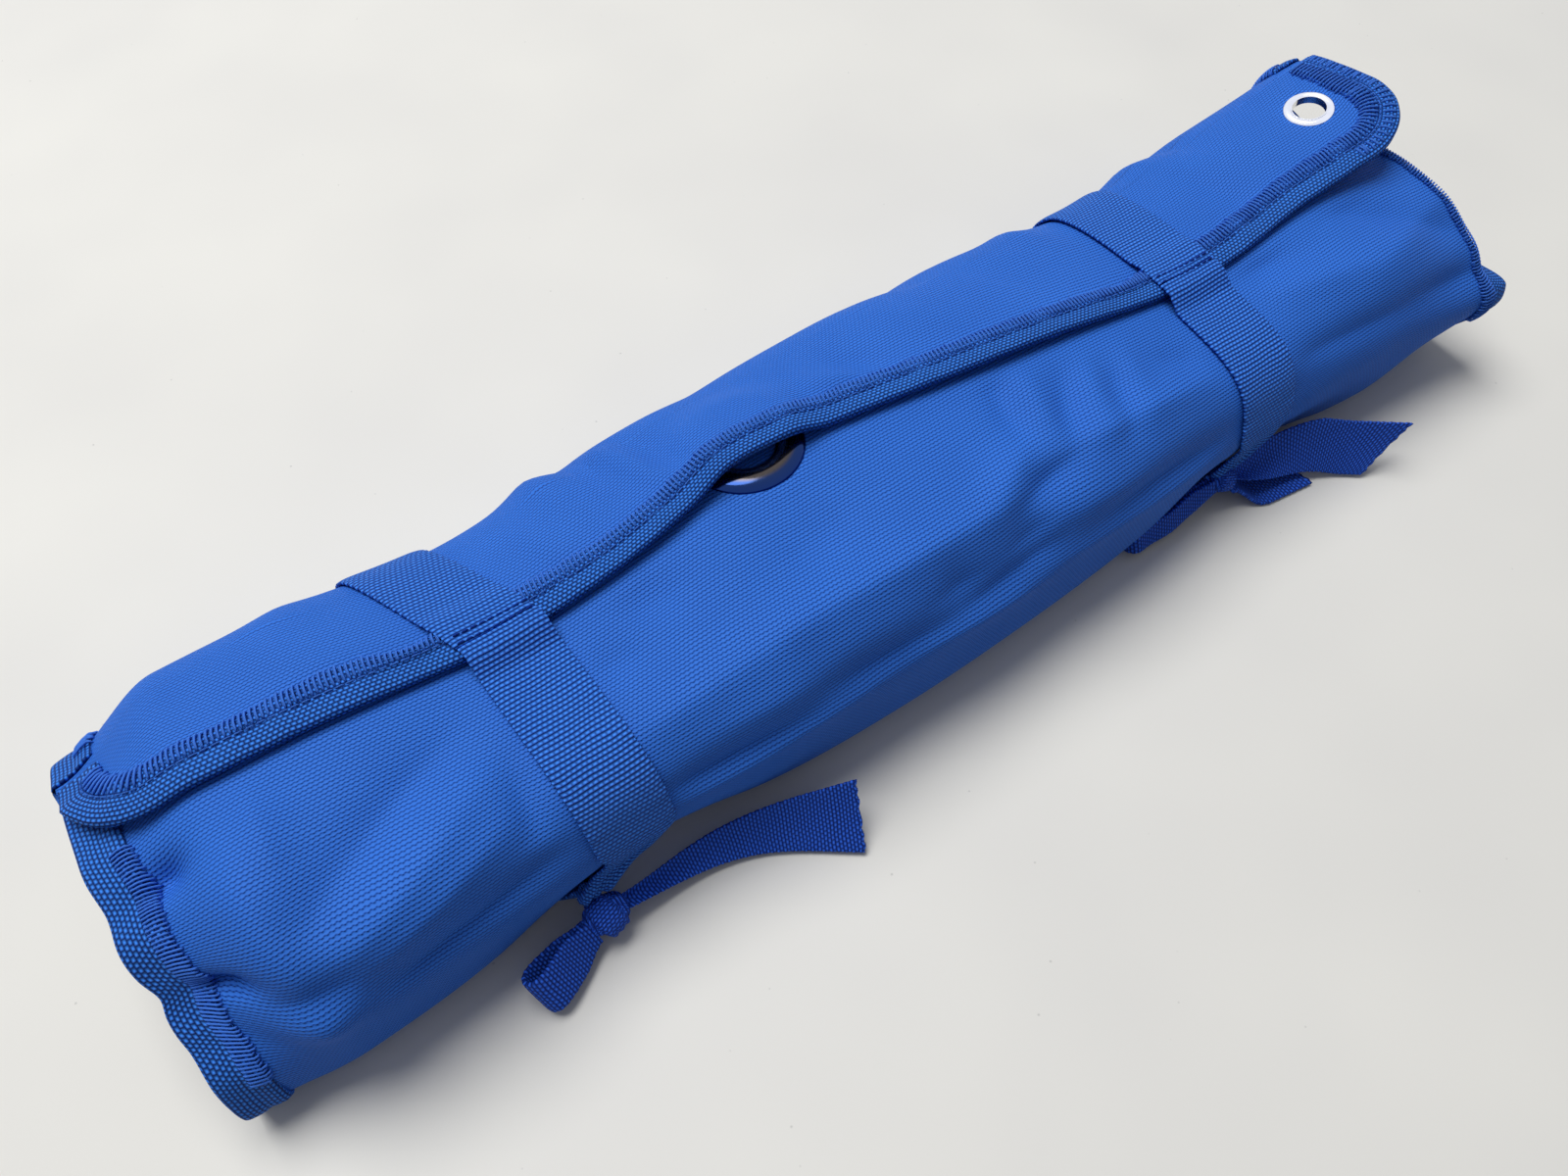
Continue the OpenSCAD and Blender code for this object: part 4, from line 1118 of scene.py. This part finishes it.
# ---- eyelets keep their CAD shape

for node, mat in (("corner_eyelet", STEEL), ("corner_eyelet_washer", STEEL),
                  ("large_eyelet", EYELET_PAINTED_REFLECTIONS), ("large_eyelet_washer", EYELET_PAINTED_REFLECTIONS)):
    ob = frame["nodes"][node]
    for i in range(len(ob.material_slots)):
        ob.material_slots[i].material = mat

# ---- stage, light and camera


def stage():
    me = bpy.data.meshes.new("table")
    s = 6.0
    me.from_pydata([(-s, -s, 0), (s, -s, 0), (s, s, 0), (-s, s, 0)], [], [[0, 1, 2, 3]])
    ob = bpy.data.objects.new("table", me)
    scene.collection.objects.link(ob)
    m = new_material("table_top")
    g = Nodes(m)
    obj = g.add("ShaderNodeTexCoord").outputs["Object"]
    grain = g.add("ShaderNodeTexNoise", Vector=obj, Scale=420.0, Detail=3.0).outputs["Fac"]
    mottle = g.add("ShaderNodeTexNoise", Vector=obj, Scale=9.0, Detail=2.0).outputs["Fac"]
    specks = g.add("ShaderNodeTexVoronoi", Vector=obj, Scale=70.0, Randomness=1.0).outputs["Distance"]
    pale = srgb(228, 226, 218)
    spot = g.math("ADD", specks, g.math("MULTIPLY", grain, 0.05))
    color = g.ramp(spot, [(0.03, tuple(0.7 * c for c in pale)), (0.06, pale)])
    tint = g.add("ShaderNodeMix", _data_type="RGBA", _blend_type="MULTIPLY", i0=1.0)
    g.link(color, tint.inputs[6])
    g.link(g.ramp(mottle, [(0.3, (0.94, 0.94, 0.95)), (0.7, (1, 1, 1))]), tint.inputs[7])
    # what the eye and the metal see is the pale top; it lights the roll as a grey one
    top = g.add("ShaderNodeMix", _data_type="RGBA", i0=g.seen())
    top.inputs[6].default_value = (0.3, 0.3, 0.29, 1)
    g.link(tint.outputs[2], top.inputs[7])
    bump = g.add("ShaderNodeBump", Strength=0.12, Distance=0.1 * MM, Height=grain)
    g.surface(top.outputs[2], bump.outputs["Normal"], Roughness=0.6)
    me.materials.append(m)


def area_light(name, location, target, size, power):
    data = bpy.data.lights.new(name, "AREA")
    data.shape = "DISK"
    data.size = size
    data.energy = power
    ob = bpy.data.objects.new(name, data)
    scene.collection.objects.link(ob)
    ob.location = location
    d = np.array(target) - np.array(location)
    ob.rotation_euler = (math.acos(-d[2] / np.linalg.norm(d)), 0, math.atan2(d[1], d[0]) - math.pi / 2)


stage()
world = bpy.data.worlds.new("room")
scene.world = world
world.use_nodes = True
g = Nodes(world)
background = world.node_tree.nodes["Background"]
background.inputs["Color"].default_value = (0.92, 0.96, 1.1, 1)
# the room is pale where the eye and the metal see it, and dim where it lights the roll
strength = g.add("ShaderNodeMapRange", Value=g.seen(), To__Min=0.2, To__Max=1.0)
g.link(strength.outputs["Result"], background.inputs["Strength"])
area_light("window", (-0.35, 1.05, 2.75), (0, 0, 0), 2.1, 84)

camera_data = bpy.data.cameras.new("camera")
camera_data.lens = 27
camera_data.sensor_width = 36
camera_data.clip_start = 0.01
camera = bpy.data.objects.new("camera", camera_data)
scene.collection.objects.link(camera)
camera.location = (-0.1608, -0.1766, 0.3524)
camera.rotation_euler = (math.radians(32), 0, math.radians(-35.4))
scene.camera = camera
scene.view_settings.view_transform = "Standard"
